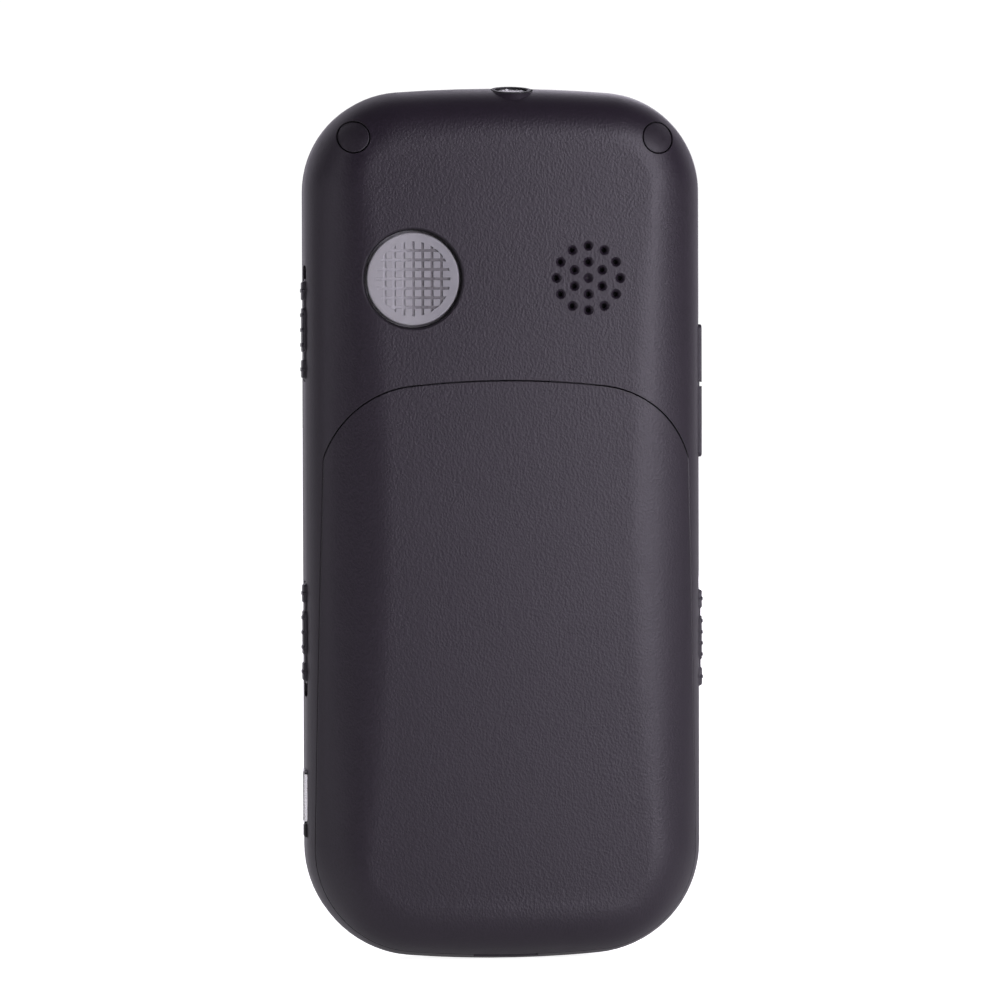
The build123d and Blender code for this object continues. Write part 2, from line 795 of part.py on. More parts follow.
with BuildPart() as dome_sheet_part:
    with BuildSketch(front_plane(board_front_y)):
        with Locations((0, mat_middle)):
            RectangleRounded(2 * (mat_half_width - 2 * mat_rim), mat_height - 4 * mat_rim, key_corner)
    extrude(amount=dome_sheet)
    with BuildSketch(front_plane(board_front_y - dome_sheet)):
        with Locations(*posts):
            Circle(dome_radius)
    extrude(amount=dome_height, taper=dome_slope)
save(dome_sheet_part, "dome_sheet")

# Circuit board, and what is soldered to it
board_outline = case_outline(board_inset)
with BuildPart() as main_board:
    with BuildSketch(back_plane(board_front_y)):
        add(board_outline)
        with Locations(*screw_places):
            Circle(boss_radius + 2 * loose_fit, mode=Mode.SUBTRACT)
    extrude(amount=board_thickness)
save(main_board, "main_board")


def tin_box(name, place, height, open_end=False):
    """Folded tin lid or holder on the back of the board, hollow towards the board."""
    across, up, width, length = place
    with BuildPart() as tin:
        with BuildSketch(back_plane(board_back_y)):
            with Locations((-across, up)):
                Rectangle(width, length)
        extrude(amount=height)
        with BuildSketch(back_plane(board_back_y)):
            with Locations((-across, up - (shield_wall if open_end else 0))):
                Rectangle(width - 2 * shield_wall, length - (0 if open_end else 2 * shield_wall))
        extrude(amount=height - shield_wall, mode=Mode.SUBTRACT)
    save(tin, name)


upper_shield_x = upper_shield_margin - (body_width - upper_shield_width) / 2
upper_shield_z = body_length - upper_shield_drop
upper_shield_place = (upper_shield_x, upper_shield_z, upper_shield_width, upper_shield_length)
lower_shield_low = sim_place[1] + sim_place[3] / 2 + holder_margin
lower_shield_high = bay_top - contact_block_depth - contact_margin
lower_shield_middle = (lower_shield_low + lower_shield_high) / 2
lower_shield_length = lower_shield_high - lower_shield_low
lower_shield_place = (0.0, lower_shield_middle, lower_shield_width, lower_shield_length)
tin_box("upper_shield", upper_shield_place, shield_height)
tin_box("lower_shield", lower_shield_place, shield_height)
tin_box("sim_holder", sim_place, holder_height, open_end=True)
tin_box("card_holder", card_place, holder_height, open_end=True)

with BuildPart() as microphone:
    with BuildSketch(front_plane(board_front_y)):
        with Locations((0, microphone_z)):
            Circle(microphone_radius)
    extrude(amount=microphone_height)
save(microphone, "microphone")

# Battery and its spring contacts
contact_blade = 0.8
with BuildPart() as battery:
    with BuildSketch(back_plane(battery_back_y - battery_thickness)):
        with Locations((0, battery_bottom + battery_length / 2)):
            RectangleRounded(battery_width, battery_length, battery_corner)
    extrude(amount=battery_thickness)
    chamfer(battery.edges().group_by(Axis.Y)[-1], battery_corner / 4)
save(battery, "battery")

with BuildPart() as battery_contacts:
    with BuildSketch(back_plane(board_back_y)):
        with Locations((0, bay_top - fit)):
            Rectangle(contact_block_width, contact_block_depth - 2 * fit,
                      align=(Align.CENTER, Align.MAX))
    extrude(amount=contact_block_height)
    with BuildSketch(back_plane(bay_floor_y + contact_blade)):
        with Locations((0, bay_top - contact_block_depth)):
            with GridLocations(contact_block_width / 3, 0, 3, 1):
                Rectangle(contact_blade, 2 * loose_fit)
    extrude(amount=contact_block_height / 3)
save(battery_contacts, "battery_contacts")

# Emergency button with its square grid, and the switch under it
sos_switch_size = 6.0
sos_switch_height = 2.5
sos_plunger = 0.4
sos_top_y = back_y - sos_sink
sos_flange_y = back_inner_y - 2 * fit
sos_post_end_y = board_back_y + sos_switch_height + sos_plunger + sos_travel + travel_gap
with BuildPart() as sos_button:
    with BuildSketch(back_plane(sos_flange_y)):
        with Locations((-sos_x, sos_z)):
            Circle(sos_radius)
    extrude(amount=sos_top_y - sos_flange_y)
    fillet(sos_button.edges().group_by(Axis.Y)[-1], sos_dome)
    with BuildSketch(back_plane(sos_flange_y - side_flange)):
        with Locations((-sos_x, sos_z)):
            Circle(sos_radius + side_flange)
    extrude(amount=side_flange)
    with BuildSketch(back_plane(sos_post_end_y)):
        with Locations((-sos_x, sos_z)):
            Circle(key_post_radius + fit)
    extrude(amount=sos_flange_y - side_flange - sos_post_end_y)
    # Grid of grooves, seven each way, kept inside a circle
    with BuildSketch(back_plane(sos_top_y - sos_groove_depth)):
        with Locations((-sos_x, sos_z)):
            with GridLocations(sos_grid_pitch, 0, sos_grid_lines, 1):
                Rectangle(sos_groove, 2 * sos_grid_radius)
            with GridLocations(0, sos_grid_pitch, 1, sos_grid_lines):
                Rectangle(2 * sos_grid_radius, sos_groove)
            Circle(sos_grid_radius, mode=Mode.INTERSECT)
    extrude(amount=2 * sos_groove_depth, mode=Mode.SUBTRACT)
save(sos_button, "sos_button")

with BuildPart() as sos_switch:
    with BuildSketch(back_plane(board_back_y)):
        with Locations((-sos_x, sos_z)):
            Rectangle(sos_switch_size, sos_switch_size)
    extrude(amount=sos_switch_height)
    with BuildSketch(back_plane(board_back_y + sos_switch_height)):
        with Locations((-sos_x, sos_z)):
            Circle(key_post_radius)
    extrude(amount=sos_plunger)
save(sos_switch, "sos_switch")

# Loudspeaker, with a foam ring between it and its grille
gasket_thickness = 0.4
speaker_front_y = back_inner_y - fit - gasket_thickness - fit
with BuildPart() as speaker_gasket:
    with BuildSketch(back_plane(speaker_front_y + fit)):
        with Locations((-speaker_x, speaker_z)):
            Circle(speaker_radius)
            Circle(grille_outer_ring + speaker_rib, mode=Mode.SUBTRACT)
    extrude(amount=gasket_thickness)
save(speaker_gasket, "speaker_gasket")

with BuildPart() as loudspeaker:
    with BuildSketch(back_plane(speaker_front_y - speaker_height)):
        with Locations((-speaker_x, speaker_z)):
            Circle(speaker_radius)
    extrude(amount=speaker_height)
    with BuildSketch(back_plane(speaker_front_y - speaker_height / 4)):
        with Locations((-speaker_x, speaker_z)):
            Circle(speaker_radius - 2 * speaker_rib)
    extrude(amount=speaker_height, taper=-speaker_cone_slope, mode=Mode.SUBTRACT)
    chamfer(loudspeaker.faces().sort_by(Axis.Y)[0].edges(), speaker_height / 3)
save(loudspeaker, "loudspeaker")

# Torch: bezel, lens and lamp
with BuildPart() as torch_bezel:
    with BuildSketch(torch_plane(torch_length)):
        Circle(torch_radius)
    extrude(amount=torch_length)
    with BuildSketch(torch_plane(torch_length)):
        Circle(torch_radius + bezel_flange)
    extrude(amount=bezel_flange)
    with BuildSketch(torch_plane(torch_length)):
        Circle(torch_radius - bezel_wall)
    extrude(amount=torch_length, mode=Mode.SUBTRACT)
save(torch_bezel, "torch_bezel")

lens_back = lens_sink + lens_thickness
with BuildPart() as torch_lens:
    with BuildSketch(torch_plane(lens_back)):
        Circle(torch_radius - bezel_wall - fit)
    extrude(amount=lens_thickness)
    chamfer(torch_lens.edges().sort_by(Axis.Z)[-1], lens_thickness / 3)
save(torch_lens, "torch_lens")

led_foot = torch_plane(lens_back + fit + led_length)
with BuildPart() as torch_led:
    with BuildSketch(led_foot):
        Circle(led_radius)
    extrude(amount=led_length)
    fillet(torch_led.edges().sort_by(Axis.Z)[-1], led_round)
    with BuildSketch(back_plane(board_back_y)):
        with Locations((-torch_x, led_foot.origin.Z)):
            Rectangle(2 * led_radius, led_radius)
    extrude(amount=led_foot.origin.Y - board_back_y)
save(torch_led, "torch_led")

# Slides in the sides: a capped bar with a ribbed grip, a flange and a driving tongue
switch_inset = 2.65
switch_depth = 2.8
switch_length = 8.0
tongue_height = 0.5
tongue_length = 1.4
tongue_reach = 1.6
tongue_middle_y = board_back_y + holder_height / 2
cap_sink = 0.1
flange_inset = side_wall + side_flange_gap


def side_slide(name, side, slot_z, park, ribs):
    """One slide; park is the end of the slot, -1 low or 1 high, where it rests."""
    middle = slot_z + park * slide_travel / 2
    across = side * side_control_y
    with BuildPart() as slide:
        with BuildSketch(side_plane(side, flange_inset)):
            with Locations((across, middle)):
                RectangleRounded(side_control_height, slide_length, side_control_height / 5)
        extrude(amount=flange_inset - cap_sink)
        with BuildSketch(side_plane(side, flange_inset + side_flange)):
            with Locations((across, middle)):
                Rectangle(side_flange_height, slide_slot_length + slide_travel + 4 * loose_fit)
        extrude(amount=side_flange)
        with BuildSketch(side_plane(side, flange_inset + side_flange)):
            with Locations((side * tongue_middle_y, middle)):
                Rectangle(tongue_height, tongue_length)
        extrude(amount=-tongue_reach)
        # Raised grip with cross ribs, and a low bump near each end
        with BuildSketch(side_plane(side, cap_sink)):
            with Locations((across, middle)):
                RectangleRounded(side_control_height, slide_grip_length, side_control_height / 5)
        extrude(amount=side_proud / 2)
        with BuildSketch(side_plane(side, cap_sink)):
            with Locations((across, middle)):
                with GridLocations(0, slide_grip_length / ribs, 1, ribs):
                    SlotOverall(side_control_height - 2 * loose_fit, slide_rib)
                with GridLocations(0, slide_length - side_control_height, 1, 2):
                    SlotOverall(side_control_height - 2 * loose_fit, slide_rib)
        extrude(amount=side_proud + cap_sink)
    save(slide, name)


side_slide("upper_left_slide", 1, upper_slide_z, -1, 3)
side_slide("lower_left_slide", 1, lower_slide_z, 1, 3)
side_slide("right_slide", -1, right_slide_z, -1, 4)

with BuildPart() as slide_switches:
    for side, slot_z in ((1, upper_slide_z), (1, lower_slide_z), (-1, right_slide_z)):
        with BuildSketch(side_plane(side, switch_inset)):
            with Locations((side * tongue_middle_y, slot_z)):
                Rectangle(holder_height, switch_length)
        extrude(amount=-switch_depth)
        with BuildSketch(side_plane(side, switch_inset)):
            with Locations((side * tongue_middle_y, slot_z)):
                Rectangle(tongue_height + 2 * loose_fit, tongue_length + slide_travel + 2 * loose_fit)
        extrude(amount=-tongue_reach - loose_fit, mode=Mode.SUBTRACT)
save(slide_switches, "slide_switches")

# Volume rocker with a notch between its halves, and its two switches
rocker_z = rocker_slot_z - (rocker_slot_length - rocker_length) / 2 + loose_fit
rocker_switch_reach = 6.0
rocker_switch_inset = 2.85
across = -side_control_y
with BuildPart() as volume_rocker:
    with BuildSketch(side_plane(-1, flange_inset)):
        with Locations((across, rocker_z)):
            RectangleRounded(side_control_height, rocker_length, side_control_height / 5)
    extrude(amount=flange_inset + side_proud - cap_sink)
    fillet(volume_rocker.faces().sort_by(Axis.X)[0].edges(), side_proud / 2)
    with BuildSketch(side_plane(-1, -side_proud)):
        with Locations((across, rocker_z + rocker_notch)):
            Rectangle(2 * side_control_height, side_proud)
    extrude(amount=-side_proud, taper=-rocker_notch_slope, mode=Mode.SUBTRACT)
    with BuildSketch(side_plane(-1, flange_inset + side_flange)):
        with Locations((across, rocker_z)):
            Rectangle(side_flange_height, rocker_length + 4 * side_flange_overlap)
    extrude(amount=side_flange)
    with BuildSketch(side_plane(-1, -side_proud + 2 * cap_sink)):
        with Locations((across, rocker_z)):
            with GridLocations(0, 2 * rocker_switch_reach, 1, 2):
                SlotOverall(side_control_height / 2, slide_rib)
    extrude(amount=cap_sink)
save(volume_rocker, "volume_rocker")

with BuildPart() as volume_switches:
    with BuildSketch(side_plane(-1, rocker_switch_inset)):
        with Locations((-tongue_middle_y, rocker_z)):
            with GridLocations(0, 2 * rocker_switch_reach, 1, 2):
                Rectangle(holder_height, switch_length / 2)
    extrude(amount=-switch_depth)
save(volume_switches, "volume_switches")

# Charging port: bent steel shell round a contact tongue, and the tab beside its mouth
port_corner = 0.7
with BuildPart() as charging_port:
    with BuildSketch(side_plane(1, -port_proud)):
        with Locations((port_y, port_z)):
            RectangleRounded(port_height, port_width, port_corner)
    extrude(amount=-port_length)
    with BuildSketch(side_plane(1, -port_proud)):
        with Locations((port_y, port_z)):
            inner_height = port_height - 2 * port_shell
            RectangleRounded(inner_height, port_width - 2 * port_shell, port_corner - port_shell)
    extrude(amount=2 * port_shell - port_length, mode=Mode.SUBTRACT)
save(charging_port, "charging_port")

port_tongue_height = 0.6
port_tongue_sink = 0.9
with BuildPart() as port_tongue:
    with BuildSketch(side_plane(1, port_length - port_proud - 2 * port_shell)):
        with Locations((port_y, port_z)):
            Rectangle(port_tongue_height, port_width / 2)
    extrude(amount=port_length - 2 * port_shell - port_tongue_sink)
save(port_tongue, "port_tongue")

with BuildPart() as port_tab:
    with BuildSketch(side_plane(1, port_tab_depth)):
        with Locations((port_y, port_tab_z)):
            Rectangle(port_tab_height, port_tab_length)
    extrude(amount=port_tab_depth + port_proud)
    chamfer(port_tab.faces().sort_by(Axis.X)[-1].edges(), port_proud / 2)
save(port_tab, "port_tab")

# Buzzer motor lying along X, and the half-round weight on its shaft
motor_y = board_back_y + weight_radius + 2 * loose_fit
shaft_radius = 0.4
motor_end = motor_x - motor_length / 2
across_plane = Plane(origin=(motor_end, motor_y, motor_z), x_dir=(0, 1, 0), z_dir=(1, 0, 0))
with BuildPart() as vibration_motor:
    with BuildSketch(across_plane):
        Circle(motor_radius)
    extrude(amount=motor_length)
    with BuildSketch(across_plane):
        Circle(shaft_radius)
    extrude(amount=-weight_length - 3 * loose_fit)
    with BuildSketch(back_plane(board_back_y)):
        with Locations((-motor_x, motor_z)):
            Rectangle(motor_length / 2, 2 * motor_radius)
    extrude(amount=motor_y - board_back_y)
save(vibration_motor, "vibration_motor")

with BuildPart() as vibration_weight:
    with BuildSketch(across_plane.offset(-2 * loose_fit)):
        with Locations((0, -weight_radius / 4)):
            Circle(weight_radius - weight_radius / 4)
        Rectangle(2 * weight_radius, weight_radius, align=(Align.CENTER, Align.MIN),
                  mode=Mode.SUBTRACT)
        Circle(2.5 * shaft_radius)
        Circle(shaft_radius + fit, mode=Mode.SUBTRACT)
    extrude(amount=-weight_length)
save(vibration_weight, "vibration_weight")

# Antenna at the foot: a plastic carrier with a metal plate on it
antenna_place = (0.0, 13.3, 32.0, 9.8)
antenna_gap = 0.24
antenna_plate_thickness = 0.15
antenna_rise = cover_top - antenna_place[1] + antenna_place[3] / 2
ledge_under_y = back_y - cover_edge_depth - cover_gap - bay_wall
ledge_under_y -= antenna_rise * sin(radians(cover_edge_tilt))
antenna_height = ledge_under_y - board_back_y - antenna_gap
with BuildPart() as antenna_carrier:
    with BuildSketch(back_plane(board_back_y)):
        with Locations(antenna_place[:2]):
            Rectangle(*antenna_place[2:])
            Rectangle(antenna_place[2] - 4 * rib, antenna_place[3] - 4 * rib, mode=Mode.SUBTRACT)
    extrude(amount=antenna_height)
    with BuildSketch(back_plane(board_back_y + antenna_height - rib)):
        with Locations(antenna_place[:2]):
            Rectangle(*antenna_place[2:])
    extrude(amount=rib)
save(antenna_carrier, "antenna_carrier")

with BuildPart() as antenna_plate:
    with BuildSketch(back_plane(board_back_y + antenna_height)):
        with Locations(antenna_place[:2]):
            Rectangle(antenna_place[2] - 2 * rib, antenna_place[3] - 2 * rib)
            with Locations((0, -antenna_place[3] / 4)):
                Rectangle(antenna_place[2] - 8 * rib, antenna_place[3] / 3, mode=Mode.SUBTRACT)
    extrude(amount=antenna_plate_thickness)
save(antenna_plate, "antenna_plate")
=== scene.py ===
import json
import math
import bmesh
import bpy
from mathutils import Matrix, Vector


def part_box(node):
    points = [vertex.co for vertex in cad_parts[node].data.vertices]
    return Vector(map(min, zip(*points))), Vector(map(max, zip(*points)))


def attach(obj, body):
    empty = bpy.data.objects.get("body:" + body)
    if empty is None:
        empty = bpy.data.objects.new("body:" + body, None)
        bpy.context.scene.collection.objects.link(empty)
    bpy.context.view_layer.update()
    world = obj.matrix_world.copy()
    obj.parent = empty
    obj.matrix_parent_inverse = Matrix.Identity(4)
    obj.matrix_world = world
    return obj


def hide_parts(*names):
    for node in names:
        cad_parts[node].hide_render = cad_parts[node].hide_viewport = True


# Bar phone with large keys, seen from its back, standing on its foot on a white table.
# X runs across it, Y from the keypad face to the back, Z up its length, in metres.

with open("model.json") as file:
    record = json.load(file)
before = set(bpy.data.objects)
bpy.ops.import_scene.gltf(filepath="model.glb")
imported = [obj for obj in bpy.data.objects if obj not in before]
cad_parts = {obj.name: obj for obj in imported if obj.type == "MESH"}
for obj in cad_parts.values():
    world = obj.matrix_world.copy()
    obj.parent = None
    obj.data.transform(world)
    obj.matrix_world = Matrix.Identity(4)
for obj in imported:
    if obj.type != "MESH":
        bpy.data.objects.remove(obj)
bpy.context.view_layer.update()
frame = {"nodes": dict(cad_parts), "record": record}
nodes = frame["nodes"]
mm = 0.001


def low(node):
    """Lowest corner of a solid at rest."""
    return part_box(node)[0]


def high(node):
    """Highest corner of a solid at rest."""
    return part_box(node)[1]


def middle(node):
    """Middle of a solid's box at rest."""
    return (low(node) + high(node)) / 2


# Camera, nearly square on to the back, a little above and to the left
film_width = 36.0
lens_length = 195.2
camera_place = (0.0821, 0.7501, 0.0832)
yaw = math.radians(6.22)
pitch = math.radians(1.47)
roll = math.radians(-0.16)
nearest = 0.01
farthest = 50.0


def place_camera():
    """Long lens that looks slightly down on the back."""
    data = bpy.data.cameras.new("camera")
    data.sensor_width = film_width
    data.lens = lens_length
    data.clip_start = nearest
    data.clip_end = farthest
    camera = bpy.data.objects.new("camera", data)
    level = math.cos(pitch)
    ahead = Vector((-math.sin(yaw) * level, -math.cos(yaw) * level, -math.sin(pitch)))
    right = Vector((-math.cos(yaw), math.sin(yaw), 0.0))
    up = right.cross(ahead)
    leaning_right = right * math.cos(roll) + up * math.sin(roll)
    leaning_up = up * math.cos(roll) - right * math.sin(roll)
    turn = Matrix((leaning_right, leaning_up, -ahead)).transposed()
    camera.matrix_world = Matrix.Translation(camera_place) @ turn.to_4x4()
    bpy.context.scene.collection.objects.link(camera)
    bpy.context.scene.camera = camera


# Light: its tint, what the soft boxes face, and their width and height for each metre away
light_tint = (1.06, 1.0, 1.15)
lit_place = Vector((0.0, 0.0, 0.06))
box_width = 0.27
box_height = 0.85

# Soft boxes: name, turn from the back towards the left side, distance, height and power
light_boxes = [
    ("near_box", -26, 0.55, 0.11, 1.6),
    ("right_box", -50, 1.1, 0.2, 3.3),
    ("far_right_box", -75, 1.1, 0.25, 0.8),
    ("left_box", 78, 1.1, 0.25, 1.15),
    ("front_box", -165, 1.2, 0.5, 2.0),
]

# Room: where a direction's part starts to glow, where it glows fully, and how brightly
glow_behind = (-0.2, -0.7, 0.7)
glow_overhead = (0.3, 0.8, 0.11)
seen_white = 1.05


def hang_soft_boxes():
    """Tall soft boxes in a ring round the phone."""
    for name, turn, distance, height, power in light_boxes:
        data = bpy.data.lights.new(name, "AREA")
        data.shape = "RECTANGLE"
        data.size = box_width * distance
        data.size_y = box_height * distance
        data.energy = power
        data.color = light_tint
        angle = math.radians(turn)
        lamp = bpy.data.objects.new(name, data)
        lamp.location = (distance * math.sin(angle), distance * math.cos(angle), height)
        lamp.rotation_euler = (lit_place - lamp.location).to_track_quat("-Z", "Y").to_euler()
        bpy.context.scene.collection.objects.link(lamp)


def room_glow(tree, part, start, end, strength):
    """Brightness that rises softly to a strength as a direction's part goes from start to end."""
    node = tree.nodes.new("ShaderNodeMapRange")
    node.interpolation_type = "SMOOTHSTEP"
    for name, number in (("From Min", start), ("From Max", end), ("To Max", strength)):
        node.inputs[name].default_value = number
    tree.links.new(part, node.inputs["Value"])
    return node.outputs[0]


def light_room():
    """Dim room, bright behind the phone and a little overhead; the camera sees plain white."""
    world = bpy.data.worlds.new("white_room")
    bpy.context.scene.world = world
    world.use_nodes = True
    tree = world.node_tree
    tree.nodes.clear()
    glow = tree.nodes.new("ShaderNodeBackground")
    seen = tree.nodes.new("ShaderNodeBackground")
    mix = tree.nodes.new("ShaderNodeMixShader")
    out = tree.nodes.new("ShaderNodeOutputWorld")
    rays = tree.nodes.new("ShaderNodeLightPath")
    direction = tree.nodes.new("ShaderNodeTexCoord")
    split = tree.nodes.new("ShaderNodeSeparateXYZ")
    strength = tree.nodes.new("ShaderNodeMath")
    tree.links.new(direction.outputs["Generated"], split.inputs[0])
    tree.links.new(room_glow(tree, split.outputs["Y"], *glow_behind), strength.inputs[0])
    tree.links.new(room_glow(tree, split.outputs["Z"], *glow_overhead), strength.inputs[1])
    tree.links.new(strength.outputs[0], glow.inputs["Strength"])
    glow.inputs["Color"].default_value = (*light_tint, 1.0)
    seen.inputs["Color"].default_value = (1.0, 1.0, 1.0, 1.0)
    seen.inputs["Strength"].default_value = seen_white
    tree.links.new(rays.outputs["Is Camera Ray"], mix.inputs[0])
    tree.links.new(glow.outputs[0], mix.inputs[1])
    tree.links.new(seen.outputs[0], mix.inputs[2])
    tree.links.new(mix.outputs[0], out.inputs["Surface"])


# Table: half its width, and its own glow in reflections and to the camera
table_size = 6.0
table_glow = (0.27, 0.9)


def lay_floor():
    """Wide white table top under the phone."""
    mesh = bpy.data.meshes.new("table_top")
    work = bmesh.new()
    bmesh.ops.create_grid(work, x_segments=2, y_segments=2, size=table_size)
    work.to_mesh(mesh)
    work.free()
    floor = bpy.data.objects.new("table_top", mesh)
    bpy.context.scene.collection.objects.link(floor)
    sheet = Finish("white_table")
    sheet.tint(sheet.noise(20 * mm), (0.88, 0.88, 0.88), (0.92, 0.92, 0.92))
    sheet.gloss(sheet.noise(4 * mm), 0.55, 0.65)
    sheet.fix("Emission Color", (1.0, 1.0, 1.0, 1.0))
    rays = sheet.add("ShaderNodeLightPath")
    glow = sheet.reach(rays.outputs["Is Camera Ray"], 0.0, 1.0, *table_glow)
    sheet.link(glow, sheet.shader.inputs["Emission Strength"])
    mesh.materials.append(sheet.material)


# Finishes: the middle part of a noise, over which one look turns to another
noise_span = (0.3, 0.7)


class Finish:
    """One material, built up from patterns read at the piece's own place, in metres."""

    def __init__(self, name):
        self.material = bpy.data.materials.new(name)
        self.material.use_nodes = True
        self.tree = self.material.node_tree
        self.shader = self.tree.nodes["Principled BSDF"]
        self.place = self.add("ShaderNodeTexCoord").outputs["Object"]
        self.normal = None

    def add(self, kind):
        return self.tree.nodes.new(kind)

    def link(self, start, end):
        self.tree.links.new(start, end)

    def fix(self, socket, value):
        """Set one of the shader's own sockets, the same all over."""
        self.shader.inputs[socket].default_value = value

    def stretched(self, stretch):
        """The place, with each way scaled, so that a pattern runs along one way."""
        if stretch is None:
            return self.place
        mapping = self.add("ShaderNodeMapping")
        mapping.inputs["Scale"].default_value = stretch
        self.link(self.place, mapping.inputs["Vector"])
        return mapping.outputs[0]

    def noise(self, size, detail=3.0, rough=0.5, stretch=None):
        """Noise with lumps about size metres across, from 0 to 1."""
        node = self.add("ShaderNodeTexNoise")
        node.inputs["Scale"].default_value = 1.0 / size
        node.inputs["Detail"].default_value = detail
        node.inputs["Roughness"].default_value = rough
        self.link(self.stretched(stretch), node.inputs["Vector"])
        return node.outputs["Fac"]

    def pebbles(self, size, stretch=None):
        """Rounded pebbles about size metres across, as on leather."""
        node = self.add("ShaderNodeTexVoronoi")
        node.feature = "SMOOTH_F1"
        node.inputs["Scale"].default_value = 1.0 / size
        node.inputs["Smoothness"].default_value = 0.6
        self.link(self.stretched(stretch), node.inputs["Vector"])
        return node.outputs["Distance"]

    def reach(self, value, start, end, low_to=0.0, high_to=1.0):
        """A value brought from start..end to another range, with soft ends."""
        node = self.add("ShaderNodeMapRange")
        node.interpolation_type = "SMOOTHSTEP"
        node.inputs["From Min"].default_value = start
        node.inputs["From Max"].default_value = end
        node.inputs["To Min"].default_value = low_to
        node.inputs["To Max"].default_value = high_to
        self.link(value, node.inputs["Value"])
        return node.outputs[0]

    def hump(self, value, rise, fall, height):
        """A height that a value reaches over one range and loses again over another."""
        return self.times(self.reach(value, *rise, 0.0, height), self.reach(value, *fall, 1.0, 0.0))

    def maths(self, how, first, second=0.0):
        """Two values joined by one operation of the math node; either may be a number."""
        node = self.add("ShaderNodeMath")
        node.operation = how
        for socket, value in zip(node.inputs, (first, second)):
            if isinstance(value, (int, float)):
                socket.default_value = value
            else:
                self.link(value, socket)
        return node.outputs[0]

    def plus(self, first, second):
        return self.maths("ADD", first, second)

    def times(self, first, second):
        return self.maths("MULTIPLY", first, second)

    def unsigned(self, value):
        return self.maths("ABSOLUTE", value)

    def squares(self, first, second):
        """Sum of the squares of two values."""
        return self.plus(self.times(first, first), self.times(second, second))

    def along(self, way):
        """The place along one way, X, Y or Z, in metres."""
        node = self.add("ShaderNodeSeparateXYZ")
        self.link(self.place, node.inputs[0])
        return node.outputs[way]

    def away(self, place):
        """Distance from a line along Y through a place, in metres."""
        across = self.plus(self.along("X"), -place.x)
        up = self.plus(self.along("Z"), -place.z)
        return self.maths("POWER", self.squares(across, up), 0.5)

    def mix(self, share, first, second):
        """One colour turning to another; either may be a socket."""
        node = self.add("ShaderNodeMix")
        node.data_type = "RGBA"
        self.link(share, node.inputs["Factor"])
        for socket, colour in ((node.inputs[6], first), (node.inputs[7], second)):
            if isinstance(colour, tuple):
                socket.default_value = (*colour, 1.0)
            else:
                self.link(colour, socket)
        return node.outputs[2]

    def cloud(self, size, first, second, most=1.0):
        """One colour with soft patches of another, about size metres across."""
        return self.mix(self.reach(self.noise(size), *noise_span, 0.0, most), first, second)

    def colour(self, socket):
        self.link(socket, self.shader.inputs["Base Color"])

    def tint(self, share, first, second):
        """Base colour between two colours."""
        self.colour(self.mix(self.reach(share, *noise_span), first, second))

    def wear(self, worn, share, whole, rubbed):
        """Base colour, with a share of a rubbed colour on the worn edges."""
        self.colour(self.mix(self.times(worn, share), whole, rubbed))

    def gloss(self, share, least, most):
        """Roughness between two values."""
        self.link(self.reach(share, *noise_span, least, most), self.shader.inputs["Roughness"])

    def milky(self, weight, depth):
        """Light goes a little way into the material, as far as depth says for each colour."""
        self.fix("Subsurface Weight", weight)
        self.fix("Subsurface Radius", depth)
        self.fix("Subsurface Scale", 1.0)

    def edges(self, radius):
        """1 on sharp edges and 0 on flats, and a normal that rounds those edges."""
        bevel = self.add("ShaderNodeBevel")
        bevel.samples = 6
        bevel.inputs["Radius"].default_value = radius
        geometry = self.add("ShaderNodeNewGeometry")
        dot = self.add("ShaderNodeVectorMath")
        dot.operation = "DOT_PRODUCT"
        self.link(bevel.outputs[0], dot.inputs[0])
        self.link(geometry.outputs["Normal"], dot.inputs[1])
        self.normal = bevel.outputs[0]
        return self.reach(dot.outputs["Value"], 0.995, 0.9)

    def lean(self, across, up):
        """Lean the normals of the back, as slopes along X and Z of the piece itself."""
        split = self.add("ShaderNodeSeparateXYZ")
        joined = self.add("ShaderNodeCombineXYZ")
        self.link(self.turned_normal(self.normal, "WORLD", "OBJECT"), split.inputs[0])
        facing = self.maths("MAXIMUM", split.outputs["Y"], 0.0)
        self.link(self.plus(split.outputs["X"], self.times(across, facing)), joined.inputs["X"])
        self.link(split.outputs["Y"], joined.inputs["Y"])
        self.link(self.plus(split.outputs["Z"], self.times(up, facing)), joined.inputs["Z"])
        self.normal = self.turned_normal(joined.outputs[0], "OBJECT", "WORLD")

    def turned_normal(self, normal, start, end):
        """A normal read in the piece's own frame or back in the world's."""
        node = self.add("ShaderNodeVectorTransform")
        node.vector_type = "NORMAL"
        node.convert_from = start
        node.convert_to = end
        self.link(normal, node.inputs[0])
        return node.outputs[0]

    def relief(self, height, depth):
        """Small relief: a height, depth metres deep for each 1 of it; calls stack."""
        bump = self.add("ShaderNodeBump")
        bump.inputs["Strength"].default_value = 1.0
        bump.inputs["Distance"].default_value = depth
        self.link(height, bump.inputs["Height"])
        if self.normal is not None:
            self.link(self.normal, bump.inputs["Normal"])
        self.normal = bump.outputs[0]
        self.link(self.normal, self.shader.inputs["Normal"])


# Bow of the back: slopes added in the shading, and where they rise and fall.
# The roll-off is read from the spine, whose outline is a barrel, and the ends from the waist.
body_middle = middle("rear_housing")
crown_curve = 1.8
barrel_curve = 1.25
roll_shift = 0.4 * mm
roll_slope = 0.24
roll_skew = 0.15
roll_rise = (15.8 * mm, 20.2 * mm)
roll_fall = (21.0 * mm, 25.5 * mm)
end_slope = -0.09
end_rise = (50 * mm, 53.5 * mm)
end_fall = (56 * mm, 59.5 * mm)


